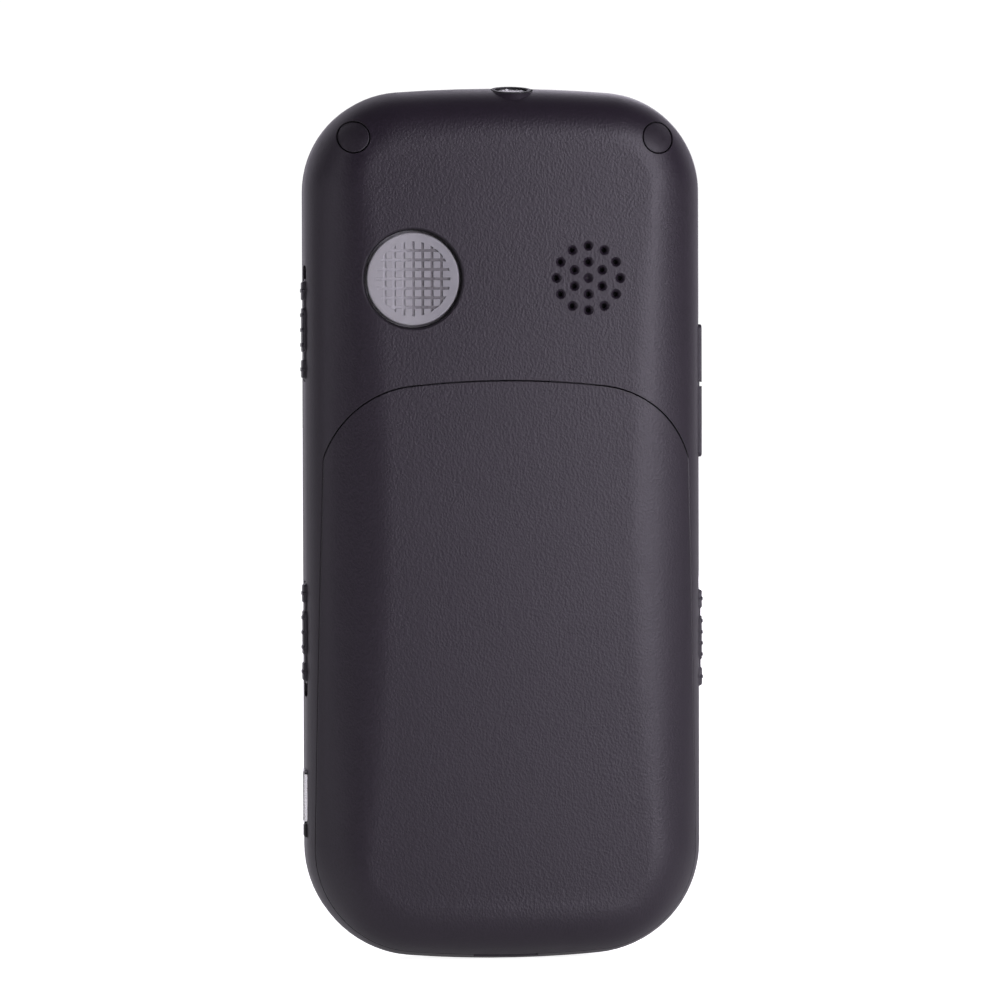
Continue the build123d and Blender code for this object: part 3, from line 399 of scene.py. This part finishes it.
def bow_back(finish):
    """Shading only: the back bows across, rolls off earlier to its sides and later to its ends."""
    across = finish.along("X")
    up = finish.plus(finish.along("Z"), -body_middle.z)
    barrel = finish.times(finish.times(up, up), -barrel_curve)
    from_spine = finish.plus(finish.unsigned(finish.plus(across, roll_shift)), barrel)
    side = finish.plus(finish.maths("SIGN", across), roll_skew)
    rolled = finish.times(finish.hump(from_spine, roll_rise, roll_fall, roll_slope), side)
    bowed = finish.plus(finish.times(across, crown_curve), rolled)
    end = finish.hump(finish.unsigned(up), end_rise, end_fall, end_slope)
    finish.lean(bowed, finish.times(end, finish.maths("SIGN", up)))


# Shell: its two blacks, the black painted as shade in its seams, on its sharp edges and in the button's
# well, its grain, and the depths where that sets in
shell_dark = (0.0175, 0.0118, 0.0205)
shell_light = (0.0187, 0.0127, 0.0217)
painted_shade = (0.003, 0.002, 0.0035)
seam_width = 0.16 * mm
pebble_size = 0.3 * mm
fine_size = 0.16 * mm
grain_depth = 0.042 * mm
grain_edge = 5.4 * mm
grain_flat = 6.9 * mm
well_shade_start = 7.0 * mm
well_shade_full = 6.8 * mm


def grained_plastic(name):
    """Moulded shell: leathery on its flats with painted shade in its pits, smoother round its edges,
    with painted shade at seams, sharp edges and the button's well.
    """
    finish = Finish(name)
    # Painted shade: the shell is darkened along its seams and sharp edges
    edge_shade = finish.times(finish.edges(seam_width), 0.8)
    bow_back(finish)
    pebbles = finish.pebbles(pebble_size, (1.0, 1.0, 0.8))
    fine = finish.noise(fine_size, 2.0, 0.6)
    grain = finish.plus(finish.times(pebbles, 0.7), finish.times(fine, 0.5))
    flatness = finish.reach(finish.unsigned(finish.along("Y")), grain_edge, grain_flat, 0.3, 1.0)
    cloud = finish.cloud(9 * mm, shell_dark, shell_light)
    # Painted shade: the low pits of the grain are darkened
    pit_shaded = finish.mix(finish.reach(grain, 0.35, 0.75, 0.16, 0.0), cloud, (0.0, 0.0, 0.0))
    # Painted shade: the well round the button is darkened and made rougher
    shaded_well = finish.reach(finish.away(middle("sos_button")), well_shade_start, well_shade_full)
    finish.colour(finish.mix(finish.maths("MAXIMUM", edge_shade, shaded_well), pit_shaded, painted_shade))
    rough = finish.reach(finish.times(grain, finish.noise(3 * mm)), *noise_span, 0.42, 0.5)
    finish.link(finish.maths("MAXIMUM", rough, shaded_well), finish.shader.inputs["Roughness"])
    finish.relief(finish.times(grain, flatness), grain_depth)
    return finish.material


def smooth_plastic(name, colour, lighter, least, most):
    """Finely spark-eroded plastic, even and soft."""
    finish = Finish(name)
    worn = finish.edges(0.1 * mm)
    glint = tuple(min(1.0, 1.5 * part + 0.01) for part in lighter)
    finish.wear(worn, 0.4, finish.cloud(4 * mm, colour, lighter), glint)
    finish.gloss(finish.noise(0.6 * mm), least, most)
    finish.relief(finish.noise(0.12 * mm, 2.0), 0.01 * mm)
    return finish.material


# Frosted button: painted shade and painted reflection; each range runs from its right half to its left,
# as the back is seen
button_shade_span = (-4.0 * mm, 1.5 * mm)
groove_reflection_span = (-1.8 * mm, 2.4 * mm)
groove_top = 0.04 * mm
groove_foot = 0.16 * mm


def frosted_button(name):
    """Frosted see-through button: pale rim, painted shade that darkens its right half, and a grid of
    polished grooves painted as a reflection, dark on the right and pale on the left.
    """
    finish = Finish(name)
    worn = finish.edges(0.06 * mm)
    face = high("sos_button").y
    from_middle = finish.plus(finish.along("X"), -middle("sos_button").x)
    # Painted shade: the button is darker on its right half and lighter on its left
    body = finish.mix(finish.reach(from_middle, *button_shade_span), (0.272, 0.27, 0.282), (0.345, 0.34, 0.35))
    cloud = finish.cloud(1.5 * mm, body, (0.36, 0.354, 0.366), 0.2)
    groove = finish.reach(finish.along("Y"), face - groove_top, face - groove_foot)
    # Painted reflection: the groove floors are dark on the right and pale on the left
    groove_reflection = finish.mix(finish.reach(from_middle, *groove_reflection_span), (0.17, 0.163, 0.17), (0.42, 0.413, 0.43))
    finish.wear(worn, 0.3, finish.mix(groove, cloud, groove_reflection), (0.5, 0.49, 0.52))
    finish.gloss(finish.maths("SUBTRACT", groove, finish.noise(0.5 * mm)), 0.5, 0.24)
    finish.relief(finish.noise(0.1 * mm, 2.0), 0.006 * mm)
    finish.milky(0.25, (0.6 * mm, 0.6 * mm, 0.7 * mm))
    return finish.material


def soft_rubber(name):
    """Matt rubber with a powdery bloom."""
    finish = Finish(name)
    worn = finish.edges(0.12 * mm)
    cloud = finish.cloud(1.2 * mm, (0.028, 0.024, 0.03), (0.036, 0.031, 0.038))
    finish.wear(worn, 0.3, cloud, (0.09, 0.08, 0.095))
    finish.gloss(finish.noise(0.8 * mm), 0.62, 0.78)
    finish.relief(finish.noise(0.18 * mm, 3.0), 0.02 * mm)
    return finish.material


# Rubber plugs: the curve of their dome, in height for each square metre, and their lean as a slope
plug_dome = 30.0
plug_lean = 0.09


def domed_plug(name):
    """Rubber plug over a screw: its face is domed and leans outwards with the corner it fills."""
    finish = Finish(name)
    worn = finish.edges(0.3 * mm)
    cloud = finish.cloud(1.2 * mm, (0.017, 0.0125, 0.019), (0.021, 0.016, 0.023))
    finish.wear(worn, 0.3, cloud, (0.06, 0.054, 0.065))
    finish.gloss(finish.noise(0.8 * mm), 0.45, 0.55)
    finish.relief(finish.noise(0.2 * mm, 3.0), 0.03 * mm)
    radius = (high("screw_plugs").z - low("screw_plugs").z) / 2
    outwards = finish.unsigned(finish.along("X"))
    across = finish.plus(outwards, radius - high("screw_plugs").x)
    up = finish.plus(finish.along("Z"), -middle("screw_plugs").z)
    finish.relief(finish.times(finish.squares(across, up), -1.0), plug_dome)
    finish.relief(finish.times(outwards, -1.0), plug_lean)
    return finish.material


def bare_metal(name, colour, darker, least, most):
    """Rolled or plated metal with a fine drawn grain."""
    finish = Finish(name)
    worn = finish.edges(0.06 * mm)
    drawn = finish.noise(0.5 * mm, 4.0, 0.6, (1.0, 1.0, 12.0))
    cloud = finish.mix(finish.reach(finish.noise(2 * mm), 0.35, 0.75), colour, darker)
    finish.wear(worn, 0.5, cloud, colour)
    finish.gloss(drawn, least, most)
    finish.relief(drawn, 0.004 * mm)
    finish.fix("Metallic", 1.0)
    return finish.material


def foam_ring(name):
    """Open black foam."""
    finish = Finish(name)
    cells = finish.pebbles(0.25 * mm)
    finish.tint(cells, (0.012, 0.012, 0.013), (0.035, 0.034, 0.036))
    finish.gloss(cells, 0.85, 0.95)
    finish.relief(cells, 0.08 * mm)
    return finish.material


def clear_glass(name, colour, roughness):
    """Hard clear cover with faint wipe marks."""
    finish = Finish(name)
    finish.edges(0.1 * mm)
    wipes = finish.noise(6 * mm, 3.0, 0.6, (1.0, 1.0, 0.3))
    finish.tint(wipes, colour, tuple(min(1.0, 1.04 * part) for part in colour))
    finish.gloss(wipes, roughness, roughness + 0.03)
    finish.relief(finish.noise(2 * mm), 0.001 * mm)
    finish.fix("Transmission Weight", 1.0)
    finish.fix("IOR", 1.49)
    return finish.material


def dark_screen(name):
    """Display that is switched off, with its fine rows of dots."""
    finish = Finish(name)
    dots = finish.pebbles(0.12 * mm)
    finish.tint(dots, (0.012, 0.014, 0.018), (0.022, 0.025, 0.032))
    finish.gloss(finish.noise(3 * mm), 0.18, 0.24)
    finish.relief(dots, 0.002 * mm)
    return finish.material


def circuit_board(name):
    """Green lacquered board with tracks and bare pads."""
    finish = Finish(name)
    tracks = finish.noise(1.1 * mm, 1.0, 0.4, (1.0, 1.0, 0.35))
    lacquer = finish.mix(finish.reach(tracks, 0.48, 0.52), (0.006, 0.05, 0.02), (0.012, 0.085, 0.035))
    pads = finish.reach(finish.pebbles(1.6 * mm), 0.16, 0.12)
    finish.colour(finish.mix(pads, lacquer, (0.65, 0.5, 0.22)))
    finish.gloss(tracks, 0.28, 0.4)
    finish.relief(tracks, 0.02 * mm)
    return finish.material


# Heights between which the battery's film turns dark
film_band = (62.6 * mm, 62.9 * mm)


def wrapped_cell(name):
    """Battery in its printed film, pale with a darker band over its top, slightly creased."""
    finish = Finish(name)
    crease = finish.noise(2.5 * mm, 4.0, 0.6)
    band = finish.reach(finish.along("Z"), *film_band)
    film = finish.mix(band, (0.5, 0.51, 0.53), (0.07, 0.075, 0.085))
    finish.colour(finish.mix(finish.reach(crease, 0.35, 0.75, 0.0, 0.12), film, (0.3, 0.3, 0.31)))
    finish.gloss(crease, 0.3, 0.42)
    finish.relief(crease, 0.03 * mm)
    return finish.material


def lamp_dome(name):
    """Milky yellow dome of the light."""
    finish = Finish(name)
    finish.tint(finish.noise(0.6 * mm), (0.75, 0.72, 0.5), (0.85, 0.83, 0.7))
    finish.gloss(finish.noise(0.4 * mm), 0.12, 0.2)
    finish.relief(finish.noise(0.3 * mm), 0.004 * mm)
    finish.milky(0.3, (0.5 * mm, 0.5 * mm, 0.4 * mm))
    return finish.material


def plain_ink(name, colour, lighter):
    """Printed ink, even and half matt, with the pad's faint mottle."""
    finish = Finish(name)
    finish.tint(finish.noise(0.5 * mm), colour, lighter)
    finish.gloss(finish.noise(0.3 * mm), 0.38, 0.5)
    finish.relief(finish.noise(0.1 * mm, 2.0), 0.003 * mm)
    return finish.material


# Width of two threads of the cloth
thread_pair = 0.3 * mm


def black_weave(name):
    """Fine black cloth, woven over and under."""
    finish = Finish(name)
    across = finish.maths("SINE", finish.times(finish.along("X"), 2 * math.pi / thread_pair))
    up = finish.maths("SINE", finish.times(finish.along("Z"), 2 * math.pi / thread_pair))
    weave = finish.reach(finish.times(across, up), -1.0, 1.0)
    finish.tint(weave, (0.01, 0.01, 0.011), (0.04, 0.038, 0.042))
    finish.gloss(weave, 0.7, 0.85)
    finish.relief(weave, 0.03 * mm)
    return finish.material


finishes = {
    "shell": grained_plastic("grained_shell"),
    "cover": grained_plastic("grained_cover"),
    "key": smooth_plastic("satin_keys", (0.62, 0.62, 0.63), (0.68, 0.68, 0.69), 0.3, 0.42),
    "call": smooth_plastic("green_key", (0.02, 0.32, 0.07), (0.03, 0.38, 0.09), 0.3, 0.42),
    "end": smooth_plastic("red_key", (0.5, 0.02, 0.02), (0.56, 0.03, 0.03), 0.3, 0.42),
    "sos": frosted_button("frosted_button"),
    "side_key": smooth_plastic("side_controls", (0.03, 0.026, 0.034), (0.038, 0.033, 0.042), 0.42, 0.55),
    "rubber": soft_rubber("rubber_mat"),
    "foam": foam_ring("black_foam"),
    "dark_plastic": smooth_plastic("inner_plastic", (0.018, 0.018, 0.019), (0.026, 0.026, 0.027),
                                   0.5, 0.65),
    "steel": bare_metal("plain_steel", (0.62, 0.61, 0.6), (0.5, 0.5, 0.5), 0.22, 0.36),
    "copper": bare_metal("plated_springs", (0.86, 0.62, 0.28), (0.7, 0.48, 0.2), 0.2, 0.32),
    "grille": bare_metal("earpiece_metal", (0.5, 0.5, 0.51), (0.4, 0.4, 0.41), 0.28, 0.4),
    "window": clear_glass("clear_window", (0.96, 0.97, 0.98), 0.03),
    "panel": dark_screen("dark_screen"),
    "lens": clear_glass("torch_lens_glass", (0.97, 0.97, 0.97), 0.08),
    "lamp": lamp_dome("lamp_dome"),
    "board": circuit_board("green_board"),
    "battery_wrap": wrapped_cell("battery_film"),
}

own_finishes = {
    "screw_plugs": domed_plug("rubber_plugs"),
    "charging_port": bare_metal("polished_shell", (0.9, 0.9, 0.9), (0.84, 0.84, 0.84), 0.08, 0.16),
}

dark_ink = plain_ink("dark_ink", (0.015, 0.015, 0.017), (0.025, 0.025, 0.028))
white_ink = plain_ink("white_ink", (0.8, 0.8, 0.8), (0.86, 0.86, 0.86))
window_print = plain_ink("window_print", (0.006, 0.006, 0.007), (0.012, 0.012, 0.013))
label_film = plain_ink("label_film", (0.55, 0.56, 0.58), (0.6, 0.61, 0.63))
woven_cloth = black_weave("woven_cloth")


def finish_nodes():
    """Give each carried-over solid the finish of its own slot, or one of its own."""
    slots = {part["node"]: part["material_slot"] for part in frame["record"]["subparts"]}
    for name, node in nodes.items():
        if not node.material_slots:
            node.data.materials.append(None)
        for material_slot in node.material_slots:
            material_slot.material = own_finishes.get(name, finishes[slots[name]])


# New pieces, and the steps in each corner of their rounded outlines
corner_steps = 6


def add_piece(name, work, body, finish):
    """Make a finished mesh a named piece that moves with a body."""
    bmesh.ops.remove_doubles(work, verts=work.verts, dist=0.0005 * mm)
    bmesh.ops.recalc_face_normals(work, faces=work.faces)
    mesh = bpy.data.meshes.new(name)
    work.to_mesh(mesh)
    work.free()
    mesh.materials.append(finish)
    piece = bpy.data.objects.new(name, mesh)
    bpy.context.scene.collection.objects.link(piece)
    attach(piece, body)
    return piece


def block(work, place, size, round_edge=0.0):
    """Rectangular block about a place, with its edges rounded."""
    shape = Matrix.Translation(place) @ Matrix.Diagonal((*size, 1.0))
    made = bmesh.ops.create_cube(work, size=1.0, matrix=shape)["verts"]
    if round_edge:
        edges = list({edge for vert in made for edge in vert.link_edges})
        bmesh.ops.bevel(work, geom=edges, offset=round_edge, segments=3, profile=0.5,
                        affect="EDGES", material=-1)


def turned(work, outline, place, axis, steps):
    """Round solid: an outline of radius and height, spun about an axis square to X through a place."""
    start = Vector((1.0, 0.0, 0.0))
    along = Vector(axis)
    corners = [work.verts.new(place + start * radius + along * height) for radius, height in outline]
    edges = [work.edges.new(pair) for pair in zip(corners, corners[1:])]
    bmesh.ops.spin(work, geom=corners + edges, cent=place, axis=along, angle=2 * math.pi,
                   steps=steps, use_merge=True)


def closed_loop(work, points):
    """Edges that join points to a closed loop."""
    corners = [work.verts.new(point) for point in points]
    return [work.edges.new(pair) for pair in zip(corners, corners[1:] + corners[:1])]


def thicken(work, faces, shift):
    """Make faces a plate, by moving a copy of them along Y and walling its sides."""
    raised = bmesh.ops.extrude_face_region(work, geom=faces)["geom"]
    moved = [part for part in raised if isinstance(part, bmesh.types.BMVert)]
    bmesh.ops.translate(work, verts=moved, vec=(0.0, shift, 0.0))


def flat_shape(work, outline, front, thickness):
    """Plate of an outline of across and up, its face at depth front, towards -Y."""
    corners = [work.verts.new((across, front + thickness, up)) for across, up in outline]
    thicken(work, [work.faces.new(corners)], -thickness)


def rounded_rectangle(place, width, height, corner):
    """Points round a rectangle with rounded corners."""
    points = []
    for side, rise, start in ((1, 1, 0), (-1, 1, 90), (-1, -1, 180), (1, -1, 270)):
        middle_x = place[0] + side * (width / 2 - corner)
        middle_z = place[1] + rise * (height / 2 - corner)
        for step in range(corner_steps + 1):
            angle = math.radians(start + 90 * step / corner_steps)
            points.append((middle_x + corner * math.cos(angle), middle_z + corner * math.sin(angle)))
    return points


# Printing on the keys: the face it lies on, its depth, and the heights of its numbers
key_top = low("key_5").y
ink_depth = 0.02 * mm
plate_depth = 1.5 * ink_depth
number_height = 6.4 * mm
star_height = 8.6 * mm
marks = {"star": "*", "hash": "#"}

# Bars of the soft keys, and the arrows and the ring of the navigation key
bar_length = 4.2 * mm
bar_width = 0.8 * mm
bar_corner = 0.38 * mm
arrow_tip = 5.2 * mm
arrow_foot = 3.9 * mm
arrow_half = 1.3 * mm
ring_inner = 2.6 * mm
ring_outer = 3.0 * mm

# Handset: its curved grip, the two lobes at its ends, and where its middle lies
grip_inner = 1.5 * mm
grip_outer = 2.15 * mm
grip_turn = 130
lobe_place = 1.72 * mm
lobe_size = (1.35 * mm, 1.6 * ink_depth, 0.95 * mm)
lobe_corner = 0.3 * mm
grip_middle = 1.35 * mm


def print_text(name, mark, place, height, body):
    """A printed mark on a key, facing out of the keypad."""
    curve = bpy.data.curves.new(name + "_text", "FONT")
    curve.body = mark
    curve.size = height
    curve.align_x = "CENTER"
    curve.extrude = ink_depth / 2
    writing = bpy.data.objects.new(name + "_text", curve)
    bpy.context.scene.collection.objects.link(writing)
    bpy.context.view_layer.update()
    mesh = bpy.data.meshes.new_from_object(writing)
    bpy.data.objects.remove(writing)
    work = bmesh.new()
    work.from_mesh(mesh)
    tops = [vert.co.y for vert in work.verts]
    sides = [vert.co.x for vert in work.verts]
    centre = Vector(((min(sides) + max(sides)) / 2, (min(tops) + max(tops)) / 2, 0.0))
    upright = Matrix.Rotation(math.radians(90), 4, "X")
    stand = Matrix.Translation((place.x, key_top - ink_depth / 4, place.z))
    bmesh.ops.transform(work, matrix=stand @ upright @ Matrix.Translation(-centre), verts=work.verts)
    add_piece(name, work, body, dark_ink)


def print_keys():
    """Numbers, handsets, bars and arrows on the keys."""
    for symbol in "1 2 3 4 5 6 7 8 9 star 0 hash".split():
        node = "key_" + symbol
        height = star_height if symbol == "star" else number_height
        print_text(node + "_print", marks.get(symbol, symbol), middle(node), height, node + "_body")
    for node, turn in (("call_key", 160), ("end_key", 25)):
        print_handset(node, turn)
    for node in ("left_soft_key", "right_soft_key"):
        work = bmesh.new()
        bar = rounded_rectangle((middle(node).x, middle(node).z), bar_length, bar_width, bar_corner)
        flat_shape(work, bar, key_top - ink_depth, plate_depth)
        add_piece(node + "_print", work, node + "_body", dark_ink)
    print_navigation_key()


def print_navigation_key():
    """An arrow up, an arrow down and a ring between them."""
    centre = middle("navigation_key")
    work = bmesh.new()
    for rise in (-1, 1):
        foot = centre.z + rise * arrow_foot
        arrow = [(centre.x - arrow_half, foot), (centre.x + arrow_half, foot),
                 (centre.x, centre.z + rise * arrow_tip)]
        flat_shape(work, arrow, key_top - ink_depth, plate_depth)
    band = [(ring_inner, 0.0), (ring_inner, ink_depth), (ring_outer, ink_depth), (ring_outer, 0.0)]
    turned(work, band + band[:1], Vector((centre.x, key_top, centre.z)), (0.0, -1.0, 0.0), 48)
    add_piece("navigation_key_print", work, "navigation_key_body", dark_ink)


def handset_lobe(work, end):
    """Earpiece or mouthpiece: a rounded block at one end of the grip, given as an angle."""
    angle = math.radians(end)
    place = Vector((lobe_place * math.cos(angle), -plate_depth / 2, lobe_place * math.sin(angle)))
    lobe = bmesh.ops.create_cube(work, size=1.0)["verts"]
    form = Matrix.Rotation(-angle, 4, "Y") @ Matrix.Diagonal((*lobe_size, 1.0))
    bmesh.ops.transform(work, matrix=Matrix.Translation(place) @ form, verts=lobe)
    corners = [edge for edge in {edge for vert in lobe for edge in vert.link_edges}
               if abs((edge.verts[0].co - edge.verts[1].co).y) > ink_depth]
    bmesh.ops.bevel(work, geom=corners, offset=lobe_corner, segments=4, profile=0.5,
                    affect="EDGES", material=-1)


def print_handset(node, turn):
    """A plain handset: a curved grip with an earpiece and a mouthpiece."""
    work = bmesh.new()
    grip = [work.verts.new((radius, 0.0, 0.0)) for radius in (grip_inner, grip_outer)]
    edge = work.edges.new(grip)
    bmesh.ops.spin(work, geom=grip + [edge], cent=(0.0, 0.0, 0.0), axis=(0.0, -1.0, 0.0),
                   angle=math.radians(grip_turn), steps=14)
    thicken(work, list(work.faces), -plate_depth)
    for end in (0, grip_turn):
        handset_lobe(work, end)
    centre = middle(node)
    lift = Matrix.Translation((centre.x, key_top + 0.5 * ink_depth, centre.z))
    spun = Matrix.Rotation(-math.radians(turn), 4, "Y")
    bow = math.radians(grip_turn / 2)
    centred = Matrix.Translation((-grip_middle * math.cos(bow), 0.0, -grip_middle * math.sin(bow)))
    bmesh.ops.transform(work, matrix=lift @ spun @ centred, verts=work.verts)
    add_piece(node + "_print", work, node + "_body", white_ink)


# Print behind the window: its gap, depth and margin, its corners and the part of the screen that shows
print_gap = 0.005 * mm
print_depth = 0.03 * mm
print_margin = 0.4 * mm
print_corner = 2.8 * mm
screen_width = 39.4 * mm
screen_height = 30.0 * mm
screen_corner = 0.8 * mm


def frame_screen():
    """Dark print behind the clear window, round the part of the screen that shows."""
    centre = middle("display_window")
    window_low = low("display_window")
    window_high = high("display_window")
    wide = window_high.x - window_low.x - print_margin
    tall = window_high.z - window_low.z - print_margin
    work = bmesh.new()
    edges = []
    for across, up, corner in ((wide, tall, print_corner), (screen_width, screen_height, screen_corner)):
        points = rounded_rectangle((centre.x, centre.z), across, up, corner)
        edges += closed_loop(work, [(x, window_high.y + print_gap, z) for x, z in points])
    band = bmesh.ops.bridge_loops(work, edges=edges)["faces"]
    thicken(work, band, print_depth)
    add_piece("screen_print", work, "housing", window_print)


# Cloth over the loudspeaker
cloth_radius = 5.6 * mm
cloth_depth = 0.03 * mm


def stretch_speaker_cloth():
    """Woven cloth across the loudspeaker, behind the holes in the back."""
    centre = middle("speaker_gasket")
    foot = Vector((centre.x, high("speaker_gasket").y + 0.01 * mm, centre.z))
    outline = [(0.0, 0.0), (cloth_radius, 0.0), (cloth_radius, cloth_depth), (0.0, cloth_depth)]
    work = bmesh.new()
    turned(work, outline, foot, (0.0, 1.0, 0.0), 48)
    add_piece("speaker_cloth", work, "housing", woven_cloth)


# Case screws: head, shaft, point and thread, and the cross that is sunk in the head's flat
head_radius = 1.5 * mm
head_height = 1.0 * mm
flat_radius = head_radius - 0.32 * mm
shaft_radius = 0.8 * mm
core_radius = shaft_radius - 0.16 * mm
neck_radius = shaft_radius - 0.1 * mm
point_radius = 0.45 * mm
screw_pitch = 0.5 * mm
cross_arm = 0.85 * mm
cross_half = 0.2 * mm
cross_depth = 0.6 * mm
cross_taper = 0.6
lower_screw_x = 13.0 * mm


def screw_outline(foot, crown):
    """Outline from the point at height foot to the flat at height crown, over the head's seat."""
    outline = [(0.0, foot), (point_radius, foot), (shaft_radius, foot + 0.5 * mm)]
    for turn in range(int((-foot - 1.6 * mm) / screw_pitch)):
        groove = foot + 0.6 * mm + turn * screw_pitch
        outline += [(core_radius, groove), (shaft_radius, groove + screw_pitch / 2)]
    outline += [(neck_radius, -0.3 * mm), (neck_radius, 0.0), (head_radius, 0.0)]
    outline += [(head_radius, crown - 0.3 * mm), (head_radius - 0.1 * mm, crown - 0.12 * mm)]
    return outline + [(flat_radius, crown)]


def sink_cross(work, place, top):
    """Close a head's open flat with a cross recess that narrows to its floor."""
    rim = [edge for edge in work.edges if edge.is_boundary
           and all(abs(vert.co.y - top) < 0.001 * mm for vert in edge.verts)
           and (edge.verts[0].co - place).xz.length < flat_radius + 0.01 * mm]
    arm = cross_arm
    half = cross_half
    corners = [(half, arm), (-half, arm), (-half, half), (-arm, half), (-arm, -half), (-half, -half),
               (-half, -arm), (half, -arm), (half, -half), (arm, -half), (arm, half), (half, half)]
    cross = closed_loop(work, [(place.x + x, top, place.z + z) for x, z in corners])
    bmesh.ops.bridge_loops(work, edges=rim + cross)
    walls = bmesh.ops.extrude_edge_only(work, edges=cross)["geom"]
    sunk = [part for part in walls if isinstance(part, bmesh.types.BMVert)]
    about = Matrix.Translation(-place)
    bmesh.ops.translate(work, verts=sunk, vec=(0.0, -cross_depth, 0.0))
    bmesh.ops.scale(work, verts=sunk, vec=(cross_taper, 1.0, cross_taper), space=about)
    floor_edges = [part for part in walls if isinstance(part, bmesh.types.BMEdge)
                   and all(vert in sunk for vert in part.verts)]
    bmesh.ops.contextual_create(work, geom=floor_edges)


def cut_screws():
    """The four case screws, with the heads that a screwdriver takes."""
    point = low("case_screws")
    top = high("case_screws")
    upper = (top.x - head_radius, top.z - head_radius)
    lower = (lower_screw_x, point.z + head_radius)
    work = bmesh.new()
    for side in (-1, 1):
        for across, up in (upper, lower):
            seat = Vector((side * across, top.y - head_height, up))
            turned(work, screw_outline(point.y - seat.y, top.y - seat.y), seat, (0.0, 1.0, 0.0), 24)
            sink_cross(work, seat, top.y)
    screws = add_piece("cross_screws", work, "housing", finishes["steel"])
    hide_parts("case_screws")


# Battery: its pads, its label and its signs
pad_pitch = 3.333 * mm
pad_rise = 1.5 * mm
pad_size = (2.0 * mm, 1.7 * mm, 0.1 * mm)
label_width = 29.0 * mm
label_height = 39.0 * mm
label_drop = 4.2 * mm
sign_shift = 9.5 * mm
sign_drop = 4.6 * mm
sign_length = 2.2 * mm
sign_width = 0.5 * mm


def plate_battery():
    """Gold pads on the battery's top end, and on its back a label and the plus and minus signs."""
    cell_low = low("battery")
    cell_high = high("battery")
    work = bmesh.new()
    for step in (-1, 0, 1):
        place = (step * pad_pitch, cell_low.y + pad_rise, cell_high.z + 0.03 * mm)
        block(work, place, pad_size, 0.02 * mm)
    add_piece("battery_pads", work, "housing", finishes["copper"])
    across = middle("battery").x
    up = middle("battery").z - label_drop
    work = bmesh.new()
    label = rounded_rectangle((across, up), label_width, label_height, 1.0 * mm)
    flat_shape(work, label, cell_high.y - 0.02 * mm, 0.07 * mm)
    add_piece("battery_label", work, "housing", label_film)
    work = bmesh.new()
    for mark, side in (("plus", 1), ("minus", -1)):
        place = (across + side * sign_shift, cell_high.y + 0.01 * mm, cell_high.z - sign_drop)
        block(work, place, (sign_length, 0.03 * mm, sign_width))
        if mark == "plus":
            block(work, place, (sign_width, 0.034 * mm, sign_length))
    add_piece("battery_signs", work, "housing", white_ink)


# Contacts of the charging port
contact_pitch = 0.65 * mm
contact_width = 0.36 * mm
contact_margin = 0.3 * mm


def plate_port():
    """Five gold strips on the tongue of the charging port."""
    centre = middle("port_tongue")
    length = high("port_tongue").x - low("port_tongue").x - contact_margin
    work = bmesh.new()
    for step in range(-2, 3):
        place = (centre.x, high("port_tongue").y + 0.01 * mm, centre.z + step * contact_pitch)
        block(work, place, (length, 0.06 * mm, contact_width), 0.01 * mm)
    add_piece("port_contacts", work, "housing", finishes["copper"])


# Caps of the slides: depth, width and rounding, then place along the slide, length and drop of each part
cap_depth = 0.85 * mm
cap_width = 2.8 * mm
cap_rounding = 0.27 * mm
cap_parts = [
    (0.0, 13.6 * mm, 0.28 * mm),
    (0.0, 6.2 * mm, 0.1 * mm),
    (-5.4 * mm, 2.6 * mm, 0.08 * mm),
    (5.4 * mm, 2.6 * mm, 0.08 * mm),
]


def pad_slides():
    """Softly rounded caps of the three slides: a long one, a grip and two end bumps on it."""
    for node, side in (("upper_left_slide", 1), ("lower_left_slide", 1), ("right_slide", -1)):
        centre = middle(node)
        tip = max(abs(low(node).x), abs(high(node).x))
        foot = tip - cap_depth
        work = bmesh.new()
        for shift, length, drop in cap_parts:
            rise = tip - drop - foot
            place = (side * (foot + rise / 2), centre.y, centre.z + shift)
            block(work, place, (rise, cap_width, length), cap_rounding)
        add_piece(node + "_pads", work, node + "_body", finishes["side_key"])


# Torch: how far it leans to the back, and its cup's outline below the lens
torch_lean = math.radians(11.0)
cup_drop = 0.65 * mm
cup_outside = [(2.2 * mm, -0.05 * mm), (2.0 * mm, -0.3 * mm), (1.72 * mm, -0.85 * mm)]
cup_inside = [(1.78 * mm, -0.88 * mm), (2.06 * mm, -0.33 * mm), (2.24 * mm, -0.05 * mm)]


def line_torch():
    """Silvery cup round the lamp, under the torch's lens."""
    axis = Vector((0.0, math.sin(torch_lean), math.cos(torch_lean)))
    work = bmesh.new()
    outline = cup_outside + cup_inside + cup_outside[:1]
    turned(work, outline, middle("torch_lens") - axis * cup_drop, axis, 40)
    add_piece("torch_cup", work, "housing", finishes["steel"])


print_keys()
frame_screen()
stretch_speaker_cloth()
cut_screws()
plate_battery()
plate_port()
pad_slides()
line_torch()

place_camera()
light_room()
hang_soft_boxes()
lay_floor()
finish_nodes()

bpy.context.scene.view_settings.view_transform = "Standard"
